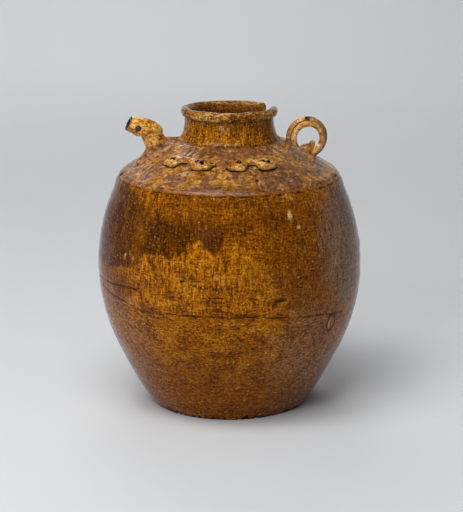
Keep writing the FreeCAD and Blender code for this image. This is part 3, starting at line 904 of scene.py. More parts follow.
def spout_tones(points):
    """Brown like the shoulder where the clay is spread over it, and painted shade inside the channel."""
    across, _, up = (points - nape).T
    stain = rough(points, 6.0, 64)
    above = up + root_reach + root_slope * across + 5.0 * stain
    behind = smooth_step(*root_setbacks, -across)
    root = np.maximum(1 - smooth_step(-root_fade, root_fade, above), behind)
    inside = 1 - faded("channel", channel(points))
    stained = 0.7 * smooth_step(0.08, 0.40, stain)
    return {"foot": root, "drag": root, "pit": inside, "deep": 0.6 * root, "dark": stained}


def strand_tones(points, hand):
    """Painted shade where the two coils meet and at the nick on top, and purple-brown painted shade on the
    back coil's outward half.
    """
    nick = ring_middle + UP * (ring_radius + strand_radius)
    spot = 1 - faded("nick", np.linalg.norm((points - nick) * [0.75, 0.5, 1.2], axis=1))
    meeting = 1 - faded("meeting", coil(points, -hand))
    foot = 1 - faded("strand_foot", jar_distance(points))
    shaded = faded("strand_shade", points[:, 0] - ring_middle[0]) if hand > 0 else 0 * foot
    stain = smooth_step(0.1, 0.5, rough(points, 6.0, 71))
    return {"pit": np.maximum(0.62 * meeting, 0.7 * spot), "foot": 0.5 * foot, "purple": 0.8 * shaded,
            "dark": 0.6 * stain}


def wad_tones(points):
    """The shoulder's brown at the wad's edge, and dark stains."""
    return {"foot": 1 - faded("wad_foot", jar_distance(points)), "dark": 0.4 + 0 * points[:, 0]}


def eye_place(hand):
    """Where the surface of the head lies beside an eye."""
    return on_head(eye_forward_share, hand * head_shares[eye_station][1]) - UP * eye_drop


def spout_neck(points):
    """The animal's neck, its flared root and the saddle of clay behind it."""
    share = (points[..., 2] - spout_seat[2]) / head_rise
    rises, sizes, leans = zip(*spout_shares)
    size = np.interp(share, rises, sizes)
    middle = spout_seat[0] + spout_half_length * np.interp(share, rises, leans)
    reach = np.hypot((points[..., 0] - middle) / spout_half_length, points[..., 1] / spout_half_width)
    column = np.maximum((reach - size) * spout_half_width, points[..., 2] - nape[2])
    low = spout_seat[2] - shoulder_drop
    upward = (points[..., 2] - low) / (saddle_rise + shoulder_drop)
    arch = np.hypot(points[..., 1] / saddle_half_width, upward)
    saddle = np.maximum((arch - 1) * saddle_half_width, points[..., 0] - spout_seat[0])
    form = joined(column, saddle, root_spread)
    form = spread_on_jar(points, form, root_spread, root_spread)
    neck_middle = bore_radius + neck_thickness / 2
    form = np.maximum(form, neck_middle - np.hypot(points[..., 0], points[..., 1]))
    form = np.maximum(form, -head_outside(points) - press_depth)
    return carved(form, channel(points), blends["channel"])


# Ring handle
ring_azimuth = 11.0
ring_seat = seat_at(0.491)
ring_rise = 14.9
ring_outward = 0.8
ring_radius = 17.0
strand_radius = 4.6
strand_offset = 3.4
# Shares of the ring's radius and of the coil's radius for the front and the back coil, and of its depth
strand_shares = {-1: (0.94, 0.69), 1: (1.12, 0.93)}
strand_depth_share = 0.95
ring_foot_depth = 24.5
ring_middle = ring_seat + UP * ring_rise + OUTWARD * ring_outward
nick_radius = 3.4
nick_depth = 1.8
nick_offset = 2.4
wad_half_length = 8.4
wad_half_width = 7.4
wad_rise = 8.8
knob_radius = 3.1
knob_offset = 6.6
knob_root_share = 0.7
wad_spread = 2.5
wad_spread_blend = 3.0
# The pinched cone on the wad: its places from the ring's seat, outward, sideways and up, and its radii
cone_ends = ((1.6, -4.6, 0.0), (1.6, -2.4, 5.6))
cone_radii = (2.9, 0.9)


def coil(points, hand):
    """One coil of the ring, with its two legs brought together at the foot."""
    across, up = points[..., 0] - ring_middle[0], points[..., 2] - ring_middle[2]
    own_radius = ring_radius * strand_shares[hand][0]
    thickness = strand_shares[hand][1] / strand_depth_share
    opening = math.acos(own_radius / ring_foot_depth)
    away = np.abs(np.hypot(across, up) - own_radius)
    turn = np.arctan2(np.abs(across), -up)
    leg_start = np.array([math.sin(opening), -math.cos(opening)]) * own_radius
    leg_end = np.array([0.0, -ring_foot_depth])
    leg = leg_end - leg_start
    side_across = np.stack([np.abs(across), up], axis=-1) - leg_start
    share = np.clip((side_across @ leg) / (leg @ leg), 0, 1)
    to_leg = np.linalg.norm(side_across - share[..., None] * leg, axis=-1)
    away = np.where(turn > opening, away, to_leg)
    sideways = points[..., 1] - hand * strand_offset
    return np.hypot(away / thickness, sideways) - strand_radius * strand_depth_share


def strand(points, hand):
    """A coil of the ring, nicked on top, the back one pressed onto the front one."""
    form = coil(points, hand)
    if hand > 0:
        form = carved(form, coil(points, -hand), blends["strands"])
    nick_rise = ring_radius + strand_radius + nick_radius - nick_depth
    nick = ring_middle - SIDEWAYS * nick_offset + UP * nick_rise
    return carved(form, ball(points, nick, nick_radius), blends["nick"])


def wad(points):
    """The wad that the ring's foot is pressed into, with a knob and a pinched cone."""
    form = oval(points, ring_seat, np.array([wad_half_length, wad_half_width, wad_rise]))
    root = ring_seat + OUTWARD * knob_offset * knob_root_share
    knob = ring_seat + OUTWARD * knob_offset + UP * wad_rise
    form = joined(form, rod(points, root, knob, knob_radius, knob_radius), blends["knob"])
    form = joined(form, rod(points, *(ring_seat + cone_ends), *cone_radii), blends["cone"])
    form = spread_on_jar(points, form, wad_spread, wad_spread_blend)
    for hand in (-1, 1):
        form = np.maximum(form, -strand(points, hand) - press_depth)
    return form


# Scroll lugs
lug_seat = seat_at(0.437)
lug_half_width = 9.2
lug_lengths = {"left": 60.0, "right": 53.0}
lug_azimuths = {"left": 237.9, "right": 286.5}
# How far the lug's strip, rims, pits and gaps lie out from the shoulder
lug_strip_out = 0.6
lug_rim_out = 5.2
lug_pit_out = 7.4
lug_gap_out = 0.8
lug_rim_radius = 1.5
lug_gap_half_sizes = np.array([10.0, 5.0, 2.9])
lug_pit_proportions = np.array([1.1, 0.9, 1.5])
# How much flatter than round the lug is
lug_flatness = 1.35
# Shares of half the length and of the half width down the slope, and of the half width
lug_strip_shares = [(-0.97, 0.42, 0.24), (-0.76, 0.34, 0.66), (-0.52, 0.18, 0.92), (-0.27, -0.38, 0.62),
                    (0.0, -0.58, 0.56), (0.24, -0.34, 0.62), (0.50, 0.20, 0.96), (0.74, 0.22, 0.78),
                    (0.97, -0.16, 0.36)]
lug_pit_shares = [(-0.55, -0.02, 0.30), (0.48, 0.00, 0.25), (0.63, 0.22, 0.24), (0.93, -0.20, 0.16)]
lug_undercut_shares = [(-0.60, 1.36), (0.60, 1.42), (-0.08, 0.42)]
lug_rim_shares = [(-0.53, 0.12, 0.70), (0.58, 0.16, 0.78)]


def laid_out(points):
    """Places on the shoulder: along it, down its slope and out from it."""
    radius = np.hypot(points[..., 0], points[..., 1])
    fall = 1 / math.sqrt(1 + shoulder_fall ** 2)
    drop = shoulder_fall * fall
    along = np.arctan2(points[..., 1], points[..., 0]) * lug_seat[0]
    down = (radius - lug_seat[0]) * fall - (points[..., 2] - lug_seat[2]) * drop
    out = (radius - lug_seat[0]) * drop + (points[..., 2] - lug_seat[2]) * fall
    return np.stack([along, down, out], axis=-1)


def lug_place(length, run, low, out):
    """A place on a lug, by its shares along and down the slope and how far out it lies."""
    return np.array([length / 2 * run, lug_half_width * low, out])


def lug(points, length):
    """A strip of clay with two hanging lobes, pressed on along the shoulder."""
    laid = laid_out(points) * [1.0, 1.0, lug_flatness]
    stations = [(lug_place(length, run, low, lug_strip_out), lug_half_width * size)
                for run, low, size in lug_strip_shares]
    form = rod_chain(laid, stations, blends["lug"])
    for run, low, size in lug_rim_shares:
        from_middle = laid - lug_place(length, run, low, lug_rim_out)
        around = np.hypot(from_middle[..., 0], from_middle[..., 1]) - lug_half_width * size
        rim = np.hypot(around, from_middle[..., 2]) - lug_rim_radius
        form = joined(form, rim, blends["lug_rim"])
    for run, low, size in lug_pit_shares:
        place = lug_place(length, run, low, lug_pit_out)
        pit = oval(laid, place, lug_pit_proportions * lug_half_width * size)
        form = carved(form, pit, blends["lug_pit"])
    for run, low in lug_undercut_shares:
        gap = oval(laid, lug_place(length, run, low, lug_gap_out), lug_gap_half_sizes)
        form = carved(form, gap, blends["lug_gap"])
    return form


def lug_tones(points, length):
    """Painted shadow in the gap under the lobes and painted shade in the pits."""
    along, down, out = laid_out(points).T
    dark = 1 - faded("lug_gap", out - 0.6 * faded("lug_slope", down))
    for run, low, size in lug_pit_shares:
        reach = np.hypot(along - length / 2 * run, down - lug_half_width * low) / (lug_half_width * size)
        dark = np.maximum(dark, 0.9 * (1 - smooth_step(0.75, 1.45, reach + 0.9 * noise(points, 2.2, 68))))
    return {"pit": dark, "dark": 0.5 * smooth_step(0.2, 0.5, rough(points, 5.0, 67))}


# Rooms that the forms are worked out in: half sizes, or the lowest and highest corners
head_room = (28.0, 14.0, 20.0)
spout_neck_room = ((38.0, -24.0, 258.0), (106.0, 24.0, 306.0))
ring_room_margin = 3.0
ring_room_foot_margin = 4.0
ring_room_half_width = 11.0
wad_room = (15.0, 13.0, 16.0)
wad_room_rise = 4.0
lug_room_half_length = 17.0
lug_room_half_height = 13.0
lug_room_length_share = 0.58
lug_room_offset = (-4.0, 0.0, 1.0)


def corners(middle, half_sizes):
    """The lowest and highest corners of the room round a middle."""
    return middle - np.array(half_sizes), middle + np.array(half_sizes)


def spout_pieces():
    """The animal's head, neck and eyes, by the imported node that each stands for."""
    room = corners((snout + nape) / 2, head_room)
    made = {"spout_head": formed("spout_head_glazed", head, *room, spout_azimuth, head_tones)}
    room = np.array(spout_neck_room)
    made["spout_neck"] = formed("spout_neck_glazed", spout_neck, *room, spout_azimuth, spout_tones)
    for name, hand in (("spout_eye_near", 1), ("spout_eye_far", -1)):
        middle = eye_place(hand) - SIDEWAYS * hand * eye_depth
        room = corners(middle, eye_radius * 1.5)
        made[name] = formed(name + "_bead", lambda grid, at=middle: ball(grid, at, pellet_radius), *room,
                            spout_azimuth, wrinkle=0.06, voxel=form_voxel / 2)
    return made


def ring_pieces():
    """The ring's two coils and its wad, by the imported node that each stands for."""
    made = {}
    reach = ring_radius + strand_radius + ring_room_margin
    low = ring_middle - [reach, ring_room_half_width, ring_foot_depth + ring_room_foot_margin]
    high = ring_middle + [reach, ring_room_half_width, reach]
    for name, hand in (("ring_front_strand", -1), ("ring_back_strand", 1)):
        made[name] = formed(name + "_glazed", lambda grid, side=hand: strand(grid, side), low, high,
                            ring_azimuth, lambda points, side=hand: strand_tones(points, side))
    room = corners(ring_seat + UP * wad_room_rise, wad_room)
    made["ring_wad"] = formed("ring_wad_glazed", wad, *room, ring_azimuth, wad_tones)
    return made


def lug_pieces():
    """The four lugs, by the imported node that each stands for."""
    made = {}
    for place, turn in (("front", 0.0), ("back", 180.0)):
        for side_name, azimuth in lug_azimuths.items():
            length = lug_lengths[side_name]
            half_sizes = (lug_room_half_length, length * lug_room_length_share, lug_room_half_height)
            name = "scroll_lug_" + place + "_" + side_name
            made[name] = formed(name + "_glazed", lambda grid, size=length: lug(grid, size),
                                *corners(lug_seat + lug_room_offset, half_sizes), azimuth + turn,
                                lambda places, size=length: lug_tones(places, size))
    return made


# Materials
def linear(red, green, blue):
    return (red, green, blue, 1.0)


amber = linear(0.33, 0.100, 0.002)
light_amber = linear(0.48, 0.172, 0.005)
deep_amber = linear(0.17, 0.044, 0.001)
chocolate = linear(0.050, 0.013, 0.001)
brown = linear(0.140, 0.039, 0.001)
purple_brown = linear(0.105, 0.034, 0.012)
# The colour of the painted sheen on the sides
sheen_grey_brown = linear(0.230, 0.152, 0.102)
drag_pink = linear(0.38, 0.170, 0.058)
bloom_grey = linear(0.80, 0.80, 0.86)
contour_ochre = linear(0.62, 0.36, 0.14)
root_brown = linear(0.40, 0.175, 0.055)
crust_brown = linear(0.165, 0.062, 0.026)
ochre = linear(0.62, 0.33, 0.075)
pink_crust = linear(0.28, 0.125, 0.055)
fired_clay = linear(0.30, 0.17, 0.09)
pale_scar = linear(0.42, 0.30, 0.17)
# Near black: the eye's own dark, and the painted shade in mouths, gaps, sockets and pits
dark_and_shade_brown = linear(0.014, 0.006, 0.003)
inner_brown = linear(0.09, 0.030, 0.006)
# The deep brown of the painted shade inside the jar
grain_dark = linear(0.46, 0.40, 0.34)
grain_even = linear(1.0, 1.0, 1.0)
grain_light = linear(1.55, 1.66, 1.5)

# Patterns of the glaze: stretch, size in millimetres, layers of detail and roughness
round_patterns = {
    "mottle": ((1, 1, 1.1), 19.0, 3.0),
    "patchy": ((1, 1, 1.5), 5.0, 4.0, 0.62),
    "drip": ((1, 1, 0.10), 3.2, 3.0),
    "turning": ((0.16, 0.16, 1), 1.7, 2.0, 0.65),
    "rings": ((0.03, 0.03, 1), 1.8, 3.0, 0.7),
}
place_patterns = {
    "blot": ((1, 1, 1.3), 3.0, 3.0, 0.7),
    "grain": ((1, 1, 1), 1.9, 1.0, 0.5),
    "crusts": ((1, 1, 1.4), 17.0, 2.0, 0.45),
}
low_strand_pattern = ((0.4, 0.4, 1), 1.7, 2.0, 0.6)
flow_pattern = ((1, 1, 0.12), 2.6, 2.0)
# Values of a pattern between which one tone gives way to the next
limits = {
    "shade": (0.44, 0.58), "fleck": (0.50, 0.58), "gold_core": (0.55, 0.75), "crust": (0.44, 0.53),
    "outline": (0.040, 0.0), "outline_gap": (0.40, 0.55), "dash": (0.57, 0.66), "dash_gap": (0.42, 0.52),
    "speck": (0.59, 0.63), "glint": (0.395, 0.34), "crease": (0.08, 0.5), "pooled": (0.10, 0.75),
    "worn": (-0.10, -0.9), "clay": (0.43, 0.56), "flow": (0.50, 0.58), "pit": (0.15, 0.75),
    "dark_grain": (0.445, 0.50), "light_grain": (0.50, 0.56), "cloud": (0.3, 0.7),
}
outline_level = 0.465
bump_depth = 0.9


def add(tree, kind, inputs=None, **settings):
    """A node of a material, with its settings and what goes into it."""
    made = tree.nodes.new("ShaderNode" + kind)
    for setting, value in settings.items():
        setattr(made, setting, value)
    for key, value in (inputs or {}).items():
        if isinstance(value, bpy.types.NodeSocket):
            tree.links.new(value, made.inputs[key])
        else:
            made.inputs[key].default_value = value
    return made


def new_material(name):
    """An empty material and its nodes."""
    material = bpy.data.materials.new(name)
    material.use_nodes = True
    material.node_tree.nodes.clear()
    return material, material.node_tree


def calc(tree, operation, first, second=0.0, third=0.0):
    return add(tree, "Math", {0: first, 1: second, 2: third}, operation=operation).outputs[0]


def times(tree, first, second):
    return calc(tree, "MULTIPLY", first, second)


def between(tree, value, low, high):
    """A smooth rise from 0 at the low value to 1 at the high one."""
    inputs = {"Value": value, "From Min": low, "From Max": high, "To Min": 0.0, "To Max": 1.0}
    return add(tree, "MapRange", inputs, interpolation_type="SMOOTHSTEP").outputs[0]


def mixed(tree, share, under, over, mode="MIX"):
    made = add(tree, "Mix", {0: share, 6: under, 7: over}, data_type="RGBA", blend_type=mode)
    return made.outputs[2]


def layered(tree, colour, layers):
    """A colour with tones laid over it in turn, each where its share says and at its strength."""
    for tone, share, strength in layers:
        if strength:
            colour = mixed(tree, times(tree, share, strength), colour, tone)
    return colour


def vector(tree, operation, first, second=(0, 0, 0)):
    return add(tree, "VectorMath", {0: first, 1: second}, operation=operation).outputs[0]


def field(tree, name):
    return add(tree, "Attribute", attribute_name=name).outputs["Fac"]


def pattern(tree, place, stretch, size, detail=3.0, roughness=0.55):
    """Smooth noise over a size in millimetres, stretched along an axis."""
    scale = tuple(value / size for value in stretch)
    inputs = {"Vector": vector(tree, "MULTIPLY", place, scale), "Scale": 1.0, "Detail": detail}
    return add(tree, "TexNoise", {**inputs, "Roughness": roughness}).outputs[0]


def places_in(tree, turned):
    """The place on the object in millimetres, unrolled to the belly's radius for turned pieces."""
    place = vector(tree, "MULTIPLY", add(tree, "TexCoord").outputs["Object"], (1 / MM,) * 3)
    if not turned:
        return place, place
    around = vector(tree, "NORMALIZE", vector(tree, "MULTIPLY", place, (1, 1, 0)))
    around = vector(tree, "MULTIPLY", around, (belly_radius,) * 3)
    return place, vector(tree, "ADD", around, vector(tree, "MULTIPLY", place, (0, 0, 1)))


# The look of the body's glaze; the other glazes say only what differs
plain_look = {
    "deep": deep_amber, "middle": amber, "light": light_amber, "crust_colour": pink_crust,
    "drip_share": 0.12, "line_share": 0.2, "spread": 0.07, "strand_size": 2.0, "turned": True,
    "crust": 0.0, "edge": 0.0, "specks": 0.8, "grade": 0.85, "hollow": 0.0, "foot": 0.0, "rim": 0.0,
    "drag": 0.0, "roughness": 0.11, "level": 0.05, "bump": 0.2, "bloom": 0.22,
}
unlined = {"line_share": 0.0, "drip_share": 0.0, "turned": False}
applied = {**unlined, "crust": 0.2, "hollow": 0.8, "foot": 1.0, "grade": 0.35, "bloom": 0.05}
looks = {
    "body_glaze": {},
    "shoulder_glaze": {
        **unlined, "deep": linear(0.14, 0.042, 0.004), "middle": linear(0.38, 0.140, 0.015),
        "light": linear(0.54, 0.235, 0.040), "crust_colour": crust_brown, "crust": 0.75, "edge": 0.6,
        "level": 0.35, "bump": 0.9, "grade": 0.5, "specks": 0.7, "spread": 0.10, "rim": 0.4, "drag": 0.55,
        "bloom": 0.05, "strand_size": 4.2},
    "neck_glaze": {"middle": linear(0.27, 0.088, 0.003), "drip_share": 0.08, "level": 0.15, "spread": 0.06,
                   "grade": 1.0, "bloom": 0.1},
    "lip_glaze": {
        **unlined, "deep": linear(0.14, 0.045, 0.005), "middle": linear(0.34, 0.145, 0.022),
        "light": linear(0.52, 0.275, 0.085), "specks": 1.0, "grade": 0.7, "spread": 0.09},
    "lug_glaze": {
        **unlined, "deep": amber, "middle": light_amber, "light": linear(0.62, 0.32, 0.08), "crust": 0.3,
        "edge": 0.5, "hollow": 0.9, "level": 0.3, "grade": 0.45, "bloom": 0.05},
    "spout_glaze": {
        **applied, "deep": linear(0.46, 0.15, 0.008), "middle": linear(0.86, 0.38, 0.05),
        "light": linear(0.95, 0.57, 0.14), "specks": 0.9, "level": 0.2, "drag": 0.6},
    "ring_glaze": {
        **applied, "deep": linear(0.30, 0.10, 0.006), "middle": linear(0.68, 0.31, 0.055),
        "light": linear(0.90, 0.58, 0.26), "level": 0.3, "spread": 0.09},
    "eye_glaze": {
        "deep": dark_and_shade_brown, "middle": linear(0.05, 0.035, 0.028), "light": linear(0.10, 0.075, 0.06),
        "specks": 0.2, "roughness": 0.2, "level": 0.6, "turned": False},
    "bare_clay": {"deep": fired_clay, "middle": pink_crust, "light": ochre, "roughness": 0.8, "level": 0.15},
}


def blended(tree, share, first, second):
    """A value between two others."""
    return add(tree, "Mix", {0: share, 2: first, 3: second}, data_type="FLOAT").outputs[0]


def total(tree, parts):
    """A sum of values, each with its weight."""
    added = 0.0
    for value, weight in parts:
        added = calc(tree, "MULTIPLY_ADD", value, weight, added)
    return added


def zone(tree, name, ragged, low=0.12, high=0.9):
    """A painted field of the mesh with its edge broken up by a ragged value."""
    painted = field(tree, name)
    broken = calc(tree, "ADD", painted, ragged)
    return times(tree, between(tree, broken, low, high), between(tree, painted, 0.01, 0.25))


def glaze_patterns(tree, look):
    """The patterns that a glaze is made of, by name."""
    place, around = places_in(tree, look["turned"])
    patterns = {name: pattern(tree, around, *shape) for name, shape in round_patterns.items()}
    patterns.update({name: pattern(tree, place, *shape) for name, shape in place_patterns.items()})
    strands = pattern(tree, around, (1, 1, 0.22 if look["turned"] else 1), look["strand_size"], 2.0, 0.6)
    if look["turned"]:
        strands = blended(tree, field(tree, "low"), strands, pattern(tree, place, *low_strand_pattern))
    return SimpleNamespace(strands=strands, **patterns)


def glaze_shares(tree, look, patterns):
    """Where the painted fields and the crusts show, with ragged edges."""
    wave, broken, thread, blotted = [
        calc(tree, "SUBTRACT", value, 0.5)
        for value in (patterns.drip, patterns.patchy, patterns.strands, patterns.blot)]
    ragged = total(tree, [(wave, 0.9), (broken, 0.8), (thread, 0.9)])
    return SimpleNamespace(
        broken=broken,
        dark=zone(tree, "dark", ragged),
        gold=zone(tree, "gold", times(tree, ragged, 1.3), 0.2, 1.0),
        purple=zone(tree, "purple", ragged, 0.15, 1.0),
        deep=zone(tree, "deep", ragged, 0.0, 0.9),
        grey_sheen=zone(tree, "grey_sheen", ragged, 0.15, 0.85),
        scar=zone(tree, "scar", times(tree, blotted, 1.6), 0.3, 0.9),
        crust=times(tree, between(tree, patterns.crusts, *limits["crust"]), look["crust"]),
    )


def glaze_ground(tree, look, patterns):
    """The glaze's own mottling, from its deep tone over the middle one to the light one."""
    lines_share, drip = look["line_share"], look["drip_share"]
    rest = 1.0 - drip - lines_share
    tone = total(tree, [(patterns.mottle, rest * 0.45), (patterns.patchy, rest * 0.30),
                        (patterns.strands, rest * 0.25), (patterns.turning, lines_share * 0.6),
                        (patterns.rings, lines_share * 0.4), (patterns.drip, drip)])
    low, high = 0.5 - look["spread"], 0.5 + look["spread"]
    colour = mixed(tree, between(tree, tone, low, 0.5), look["deep"], look["middle"])
    return mixed(tree, between(tree, tone, 0.5, high), colour, look["light"])


def glaze_patches(tree, look, patterns, shares):
    """Layers of deeper amber, partly painted shade, of dark, gold and purple-brown glaze, of painted sheen on
    the sides, and of crusts with pale outlines.
    """
    shade = total(tree, [(patterns.mottle, 0.3), (patterns.strands, 0.45), (patterns.patchy, 0.25)])
    shade = between(tree, shade, *limits["shade"])
    gold_core = between(tree, field(tree, "gold"), *limits["gold_core"])
    fleck = times(tree, between(tree, patterns.blot, *limits["fleck"]), gold_core)
    from_edge = calc(tree, "ABSOLUTE", calc(tree, "SUBTRACT", patterns.crusts, outline_level))
    outline = times(tree, between(tree, from_edge, *limits["outline"]),
                    between(tree, patterns.blot, *limits["outline_gap"]))
    return [
        (look["deep"], shares.deep, 0.8),
        (mixed(tree, shade, chocolate, brown), shares.dark, 1.0),
        (mixed(tree, fleck, look["light"], ochre), shares.gold, 0.55),
        (purple_brown, shares.purple, 0.75),
        (sheen_grey_brown, shares.grey_sheen, 1.0),
        (look["crust_colour"], shares.crust, 1.0),
        (contour_ochre, outline, look["edge"]),
        (amber, field(tree, "rim"), look["rim"]),
    ]


def glaze_marks(tree, look, patterns, shares):
    """Layers of dashes, specks, glints, grooves partly dark with painted shade, pooled and worn glaze,
    smeared clay, the painted shade inside the jar, and scars.
    """
    dash = times(tree, between(tree, patterns.turning, *limits["dash"]),
                 between(tree, patterns.strands, *limits["dash_gap"]))
    speck, glint = [between(tree, patterns.blot, *limits[name]) for name in ("speck", "glint")]
    pooled, worn = [between(tree, field(tree, "hollow"), *limits[name]) for name in ("pooled", "worn")]
    clay = mixed(tree, between(tree, patterns.patchy, *limits["clay"]), crust_brown, root_brown)
    flow = pattern(tree, places_in(tree, True)[1], *flow_pattern)
    flow = total(tree, [(flow, 0.7), (patterns.patchy, 0.3)])
    streak = times(tree, between(tree, flow, *limits["flow"]), field(tree, "drag"))
    return [
        (chocolate, dash, look["specks"]),
        (chocolate, speck, look["specks"]),
        (ochre, glint, look["specks"] * 0.6),
        # Grooves: their own dark, and painted shade in the creases
        (chocolate, between(tree, field(tree, "crease"), *limits["crease"]), 0.85),
        (chocolate, pooled, look["hollow"]),
        (ochre, worn, look["hollow"] * 0.7),
        (clay, field(tree, "foot"), look["foot"]),
        (drag_pink, streak, look["drag"]),
        # Painted shade inside the jar
        (mixed(tree, patterns.mottle, inner_brown, deep_amber), field(tree, "inner"), 1.0),
        (mixed(tree, patterns.strands, ochre, pale_scar), shares.scar, 1.0),
    ]


def grained(tree, look, patterns, shares, colour):
    """A colour darkened and lightened by the finest grain, less so where the glaze is dark or carries the
    painted sheen.
    """
    fine = [(patterns.grain, 0.30), (patterns.strands, 0.36), (patterns.turning, 0.34)]
    if not look["turned"]:
        fine = [(patterns.grain, 0.18), (patterns.strands, 0.46), (patterns.patchy, 0.36)]
    fine = total(tree, fine)
    calm = calc(tree, "MAXIMUM", times(tree, shares.dark, 0.45), times(tree, field(tree, "grey_sheen"), 0.6))
    strength = times(tree, calc(tree, "SUBTRACT", 1.0, calm), look["grade"])
    grades = (("dark_grain", grain_dark, grain_even), ("light_grain", grain_even, grain_light))
    for name, under, over in grades:
        grade = mixed(tree, between(tree, fine, *limits[name]), under, over)
        colour = mixed(tree, strength, colour, grade, "MULTIPLY")
    return colour


def glaze(name, changes):
    """A running iron glaze on clay: mottled, streaked and specked, thin on rises and pooled in hollows, with
    painted shade and sheen.
    """
    look = {**plain_look, **changes}
    material, tree = new_material(name)
    patterns = glaze_patterns(tree, look)
    shares = glaze_shares(tree, look, patterns)
    colour = layered(tree, glaze_ground(tree, look, patterns), glaze_patches(tree, look, patterns, shares))
    colour = layered(tree, colour, glaze_marks(tree, look, patterns, shares))
    colour = grained(tree, look, patterns, shares, colour)
    # Painted shade in the mouth, channel and eye sockets, where the coils meet, under the lugs and in dents
    # and pits, with a few dark streaks of the glaze and darker along the foot's bottom edge
    colour = mixed(tree, between(tree, field(tree, "pit"), *limits["pit"]), colour, dark_and_shade_brown)
    dull = total(tree, [(shares.broken, 0.22), (shares.scar, 0.35), (shares.crust, 0.10)])
    height = total(tree, [(patterns.turning, 0.25), (patterns.rings, 0.30), (patterns.patchy, 0.55),
                          (patterns.blot, 0.20), (patterns.grain, 0.06)])
    bump = {"Strength": look["bump"], "Distance": bump_depth * MM, "Height": height}
    surface = add(tree, "BsdfPrincipled", {
        "Base Color": colour, "Roughness": calc(tree, "ADD", dull, look["roughness"]),
        "Normal": add(tree, "Bump", bump).outputs[0], "Specular IOR Level": look["level"], "IOR": 1.5,
        "Sheen Weight": look["bloom"], "Sheen Roughness": 0.38, "Sheen Tint": bloom_grey})
    add(tree, "OutputMaterial", {"Surface": surface.outputs[0]})
    return material


# Stage, in metres
stage_left = -4.2
stage_right = 4.2
stage_front = -4.0
stage_back = 3.3
stage_top = 3.2
sweep_radius = 0.9
sweep_steps = 16
sweep_colour = linear(0.76, 0.775, 0.79)
cloud_size = 0.9
cloud_shade = 0.985
grit_size = 0.004
grit_depth = 0.0003

# Lights: azimuth, elevation, distance, width, height, power, what they face and if the glaze mirrors them
jar_middle = (0.0, 0.0, 0.17)
wall_foot_left = (-0.7, 2.9, 0.4)
wall_foot_back = (-0.45, 2.8, 0.1)
lamps = {
    "key": (218, 60, 2.0, 0.8, 0.8, 11.6, jar_middle, True),
    "top_front": (262, 66, 1.8, 1.0, 1.0, 12.0, jar_middle, True),
    "front_left": (240, 24, 3.0, 1.4, 1.4, 29.8, jar_middle, False),
    "wall_left": (200, 45, 3.0, 1.6, 1.6, 5.0, wall_foot_left, True),
    "back_top": (90, 85, 2.6, 2.0, 0.6, 34.0, wall_foot_back, True),
}
room_colour = linear(0.9, 0.95, 1.0)
room_strength = 0.15

# Camera, in metres and degrees
camera_target = (0.0024, 0.0, 0.1609)
camera_distance = 1.994
camera_elevation = 14.0
camera_lens = 126.56
camera_sensor = 36.0
camera_reach = 30.0


def sweep_paint(name):
    """The painted sweep: nearly even, with a faint cloudiness and grain."""
    material, tree = new_material(name)
    place = add(tree, "TexCoord").outputs["Object"]
    cloud = between(tree, pattern(tree, place, (1, 1, 1), cloud_size, 2.0), *limits["cloud"])
    shade = linear(*[value * cloud_shade for value in sweep_colour[:3]])
    grit = pattern(tree, place, (1, 1, 1), grit_size, 2.0)
    grit = {"Strength": 0.05, "Distance": grit_depth, "Height": grit}
    surface = add(tree, "BsdfPrincipled", {
        "Base Color": mixed(tree, cloud, sweep_colour, shade), "Roughness": 0.85,
        "Normal": add(tree, "Bump", grit).outputs[0], "Specular IOR Level": 0.2})
    add(tree, "OutputMaterial", {"Surface": surface.outputs[0]})
    return material


def stage_sweep():
    """A pale floor that bends up into a wall."""
    course = [(stage_front, 0.0)]
    for step in range(sweep_steps + 1):
        turn = math.radians(90) * step / sweep_steps
        course.append((stage_back - sweep_radius + sweep_radius * math.sin(turn),
                       sweep_radius - sweep_radius * math.cos(turn)))
    course.append((stage_back, stage_top))
    points = [(x, y, z) for y, z in course for x in (stage_left, stage_right)]
    faces = [(2 * row, 2 * row + 1, 2 * row + 3, 2 * row + 2) for row in range(len(course) - 1)]
    mesh = bpy.data.meshes.new("stage_sweep")
    mesh.from_pydata(points, [], faces)
    mesh.shade_smooth()
    mesh.materials.append(sweep_paint("stage_paint"))
    sweep = bpy.data.objects.new("stage_sweep", mesh)
    bpy.context.scene.collection.objects.link(sweep)


def soft_light(name, azimuth, elevation, distance, width, height, power, target, mirrored):
    """A rectangular light that faces its target from a direction."""
    lamp = bpy.data.lights.new(name, "AREA")
    lamp.shape = "RECTANGLE"
    lamp.size, lamp.size_y = width, height
    lamp.energy = power
    turn, rise = math.radians(azimuth), math.radians(elevation)
    away = np.array([math.cos(turn) * math.cos(rise), math.sin(turn) * math.cos(rise), math.sin(rise)])
    holder = bpy.data.objects.new(name, lamp)
    holder.visible_glossy = mirrored
    holder.location = np.array(target) + away * distance
    holder.rotation_euler = mathutils.Vector(away).to_track_quat("Z", "Y").to_euler()
    bpy.context.scene.collection.objects.link(holder)


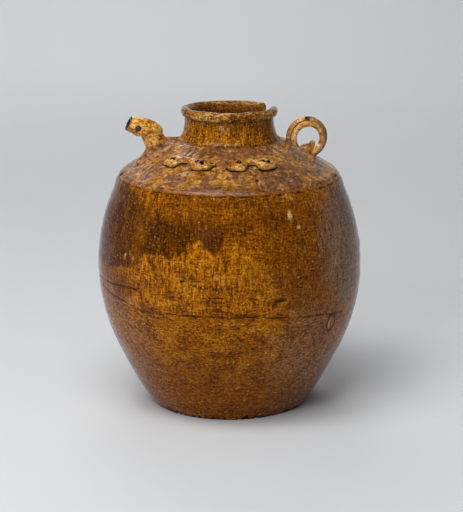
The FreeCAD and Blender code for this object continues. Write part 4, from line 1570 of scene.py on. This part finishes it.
def room():
    """The faint even light from all round."""
    world = bpy.data.worlds.new("room")
    world.use_nodes = True
    background = world.node_tree.nodes["Background"]
    background.inputs["Color"].default_value = room_colour
    background.inputs["Strength"].default_value = room_strength
    bpy.context.scene.world = world


def camera():
    """A long lens a little above the jar's middle, as the photograph was taken."""
    lens = bpy.data.cameras.new("camera")
    lens.sensor_width = camera_sensor
    lens.lens = camera_lens
    lens.clip_end = camera_reach
    holder = bpy.data.objects.new("camera", lens)
    tilt = math.radians(camera_elevation)
    away = mathutils.Vector((0.0, -math.cos(tilt), math.sin(tilt)))
    holder.location = mathutils.Vector(camera_target) + away * camera_distance
    holder.rotation_euler = (math.radians(90) - tilt, 0.0, 0.0)
    bpy.context.scene.collection.objects.link(holder)
    bpy.context.scene.camera = holder


# The thrown pieces from the foot up, and the applied ones by how their names start: the material of each,
# and the imported slot listed with it
thrown_glazes = {"lower_wall": "body_glaze", "upper_wall": "body_glaze", "shoulder": "shoulder_glaze",
                 "neck": "neck_glaze"}
applied_glazes = {"spout_eye": ("eye_glaze", "eye_glaze"), "spout": ("spout_glaze", "spout_glaze"),
                  "ring": ("ring_glaze", "ring_glaze"), "scroll": ("lug_glaze", "shoulder_glaze")}


def jar_pieces():
    """Every piece with its material and its slot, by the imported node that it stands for."""
    course = 0.0
    pieces = {"base_disc": (base_slab(), "bare_clay", "bare_clay")}
    for name, look in thrown_glazes.items():
        piece, course = thrown(name, course)
        pieces[name] = (piece, look, look)
    pieces["lip"] = (broken_lip(course), "lip_glaze", "neck_glaze")
    for name, piece in {**spout_pieces(), **ring_pieces(), **lug_pieces()}.items():
        start = next(start for start in applied_glazes if name.startswith(start))
        pieces[name] = (piece, *applied_glazes[start])
    return pieces


def jar():
    """The jar on its one body, with its materials."""
    materials = {name: glaze(name, changes) for name, changes in looks.items()}
    for name, (piece, look, slot) in jar_pieces().items():
        piece.data.materials.append(materials[look])
        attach(piece, "root")
        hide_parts(name)


camera()
stage_sweep()
for lamp_name, lamp in lamps.items():
    soft_light(lamp_name, *lamp)
room()
jar()
bpy.context.scene.view_settings.view_transform = "Standard"
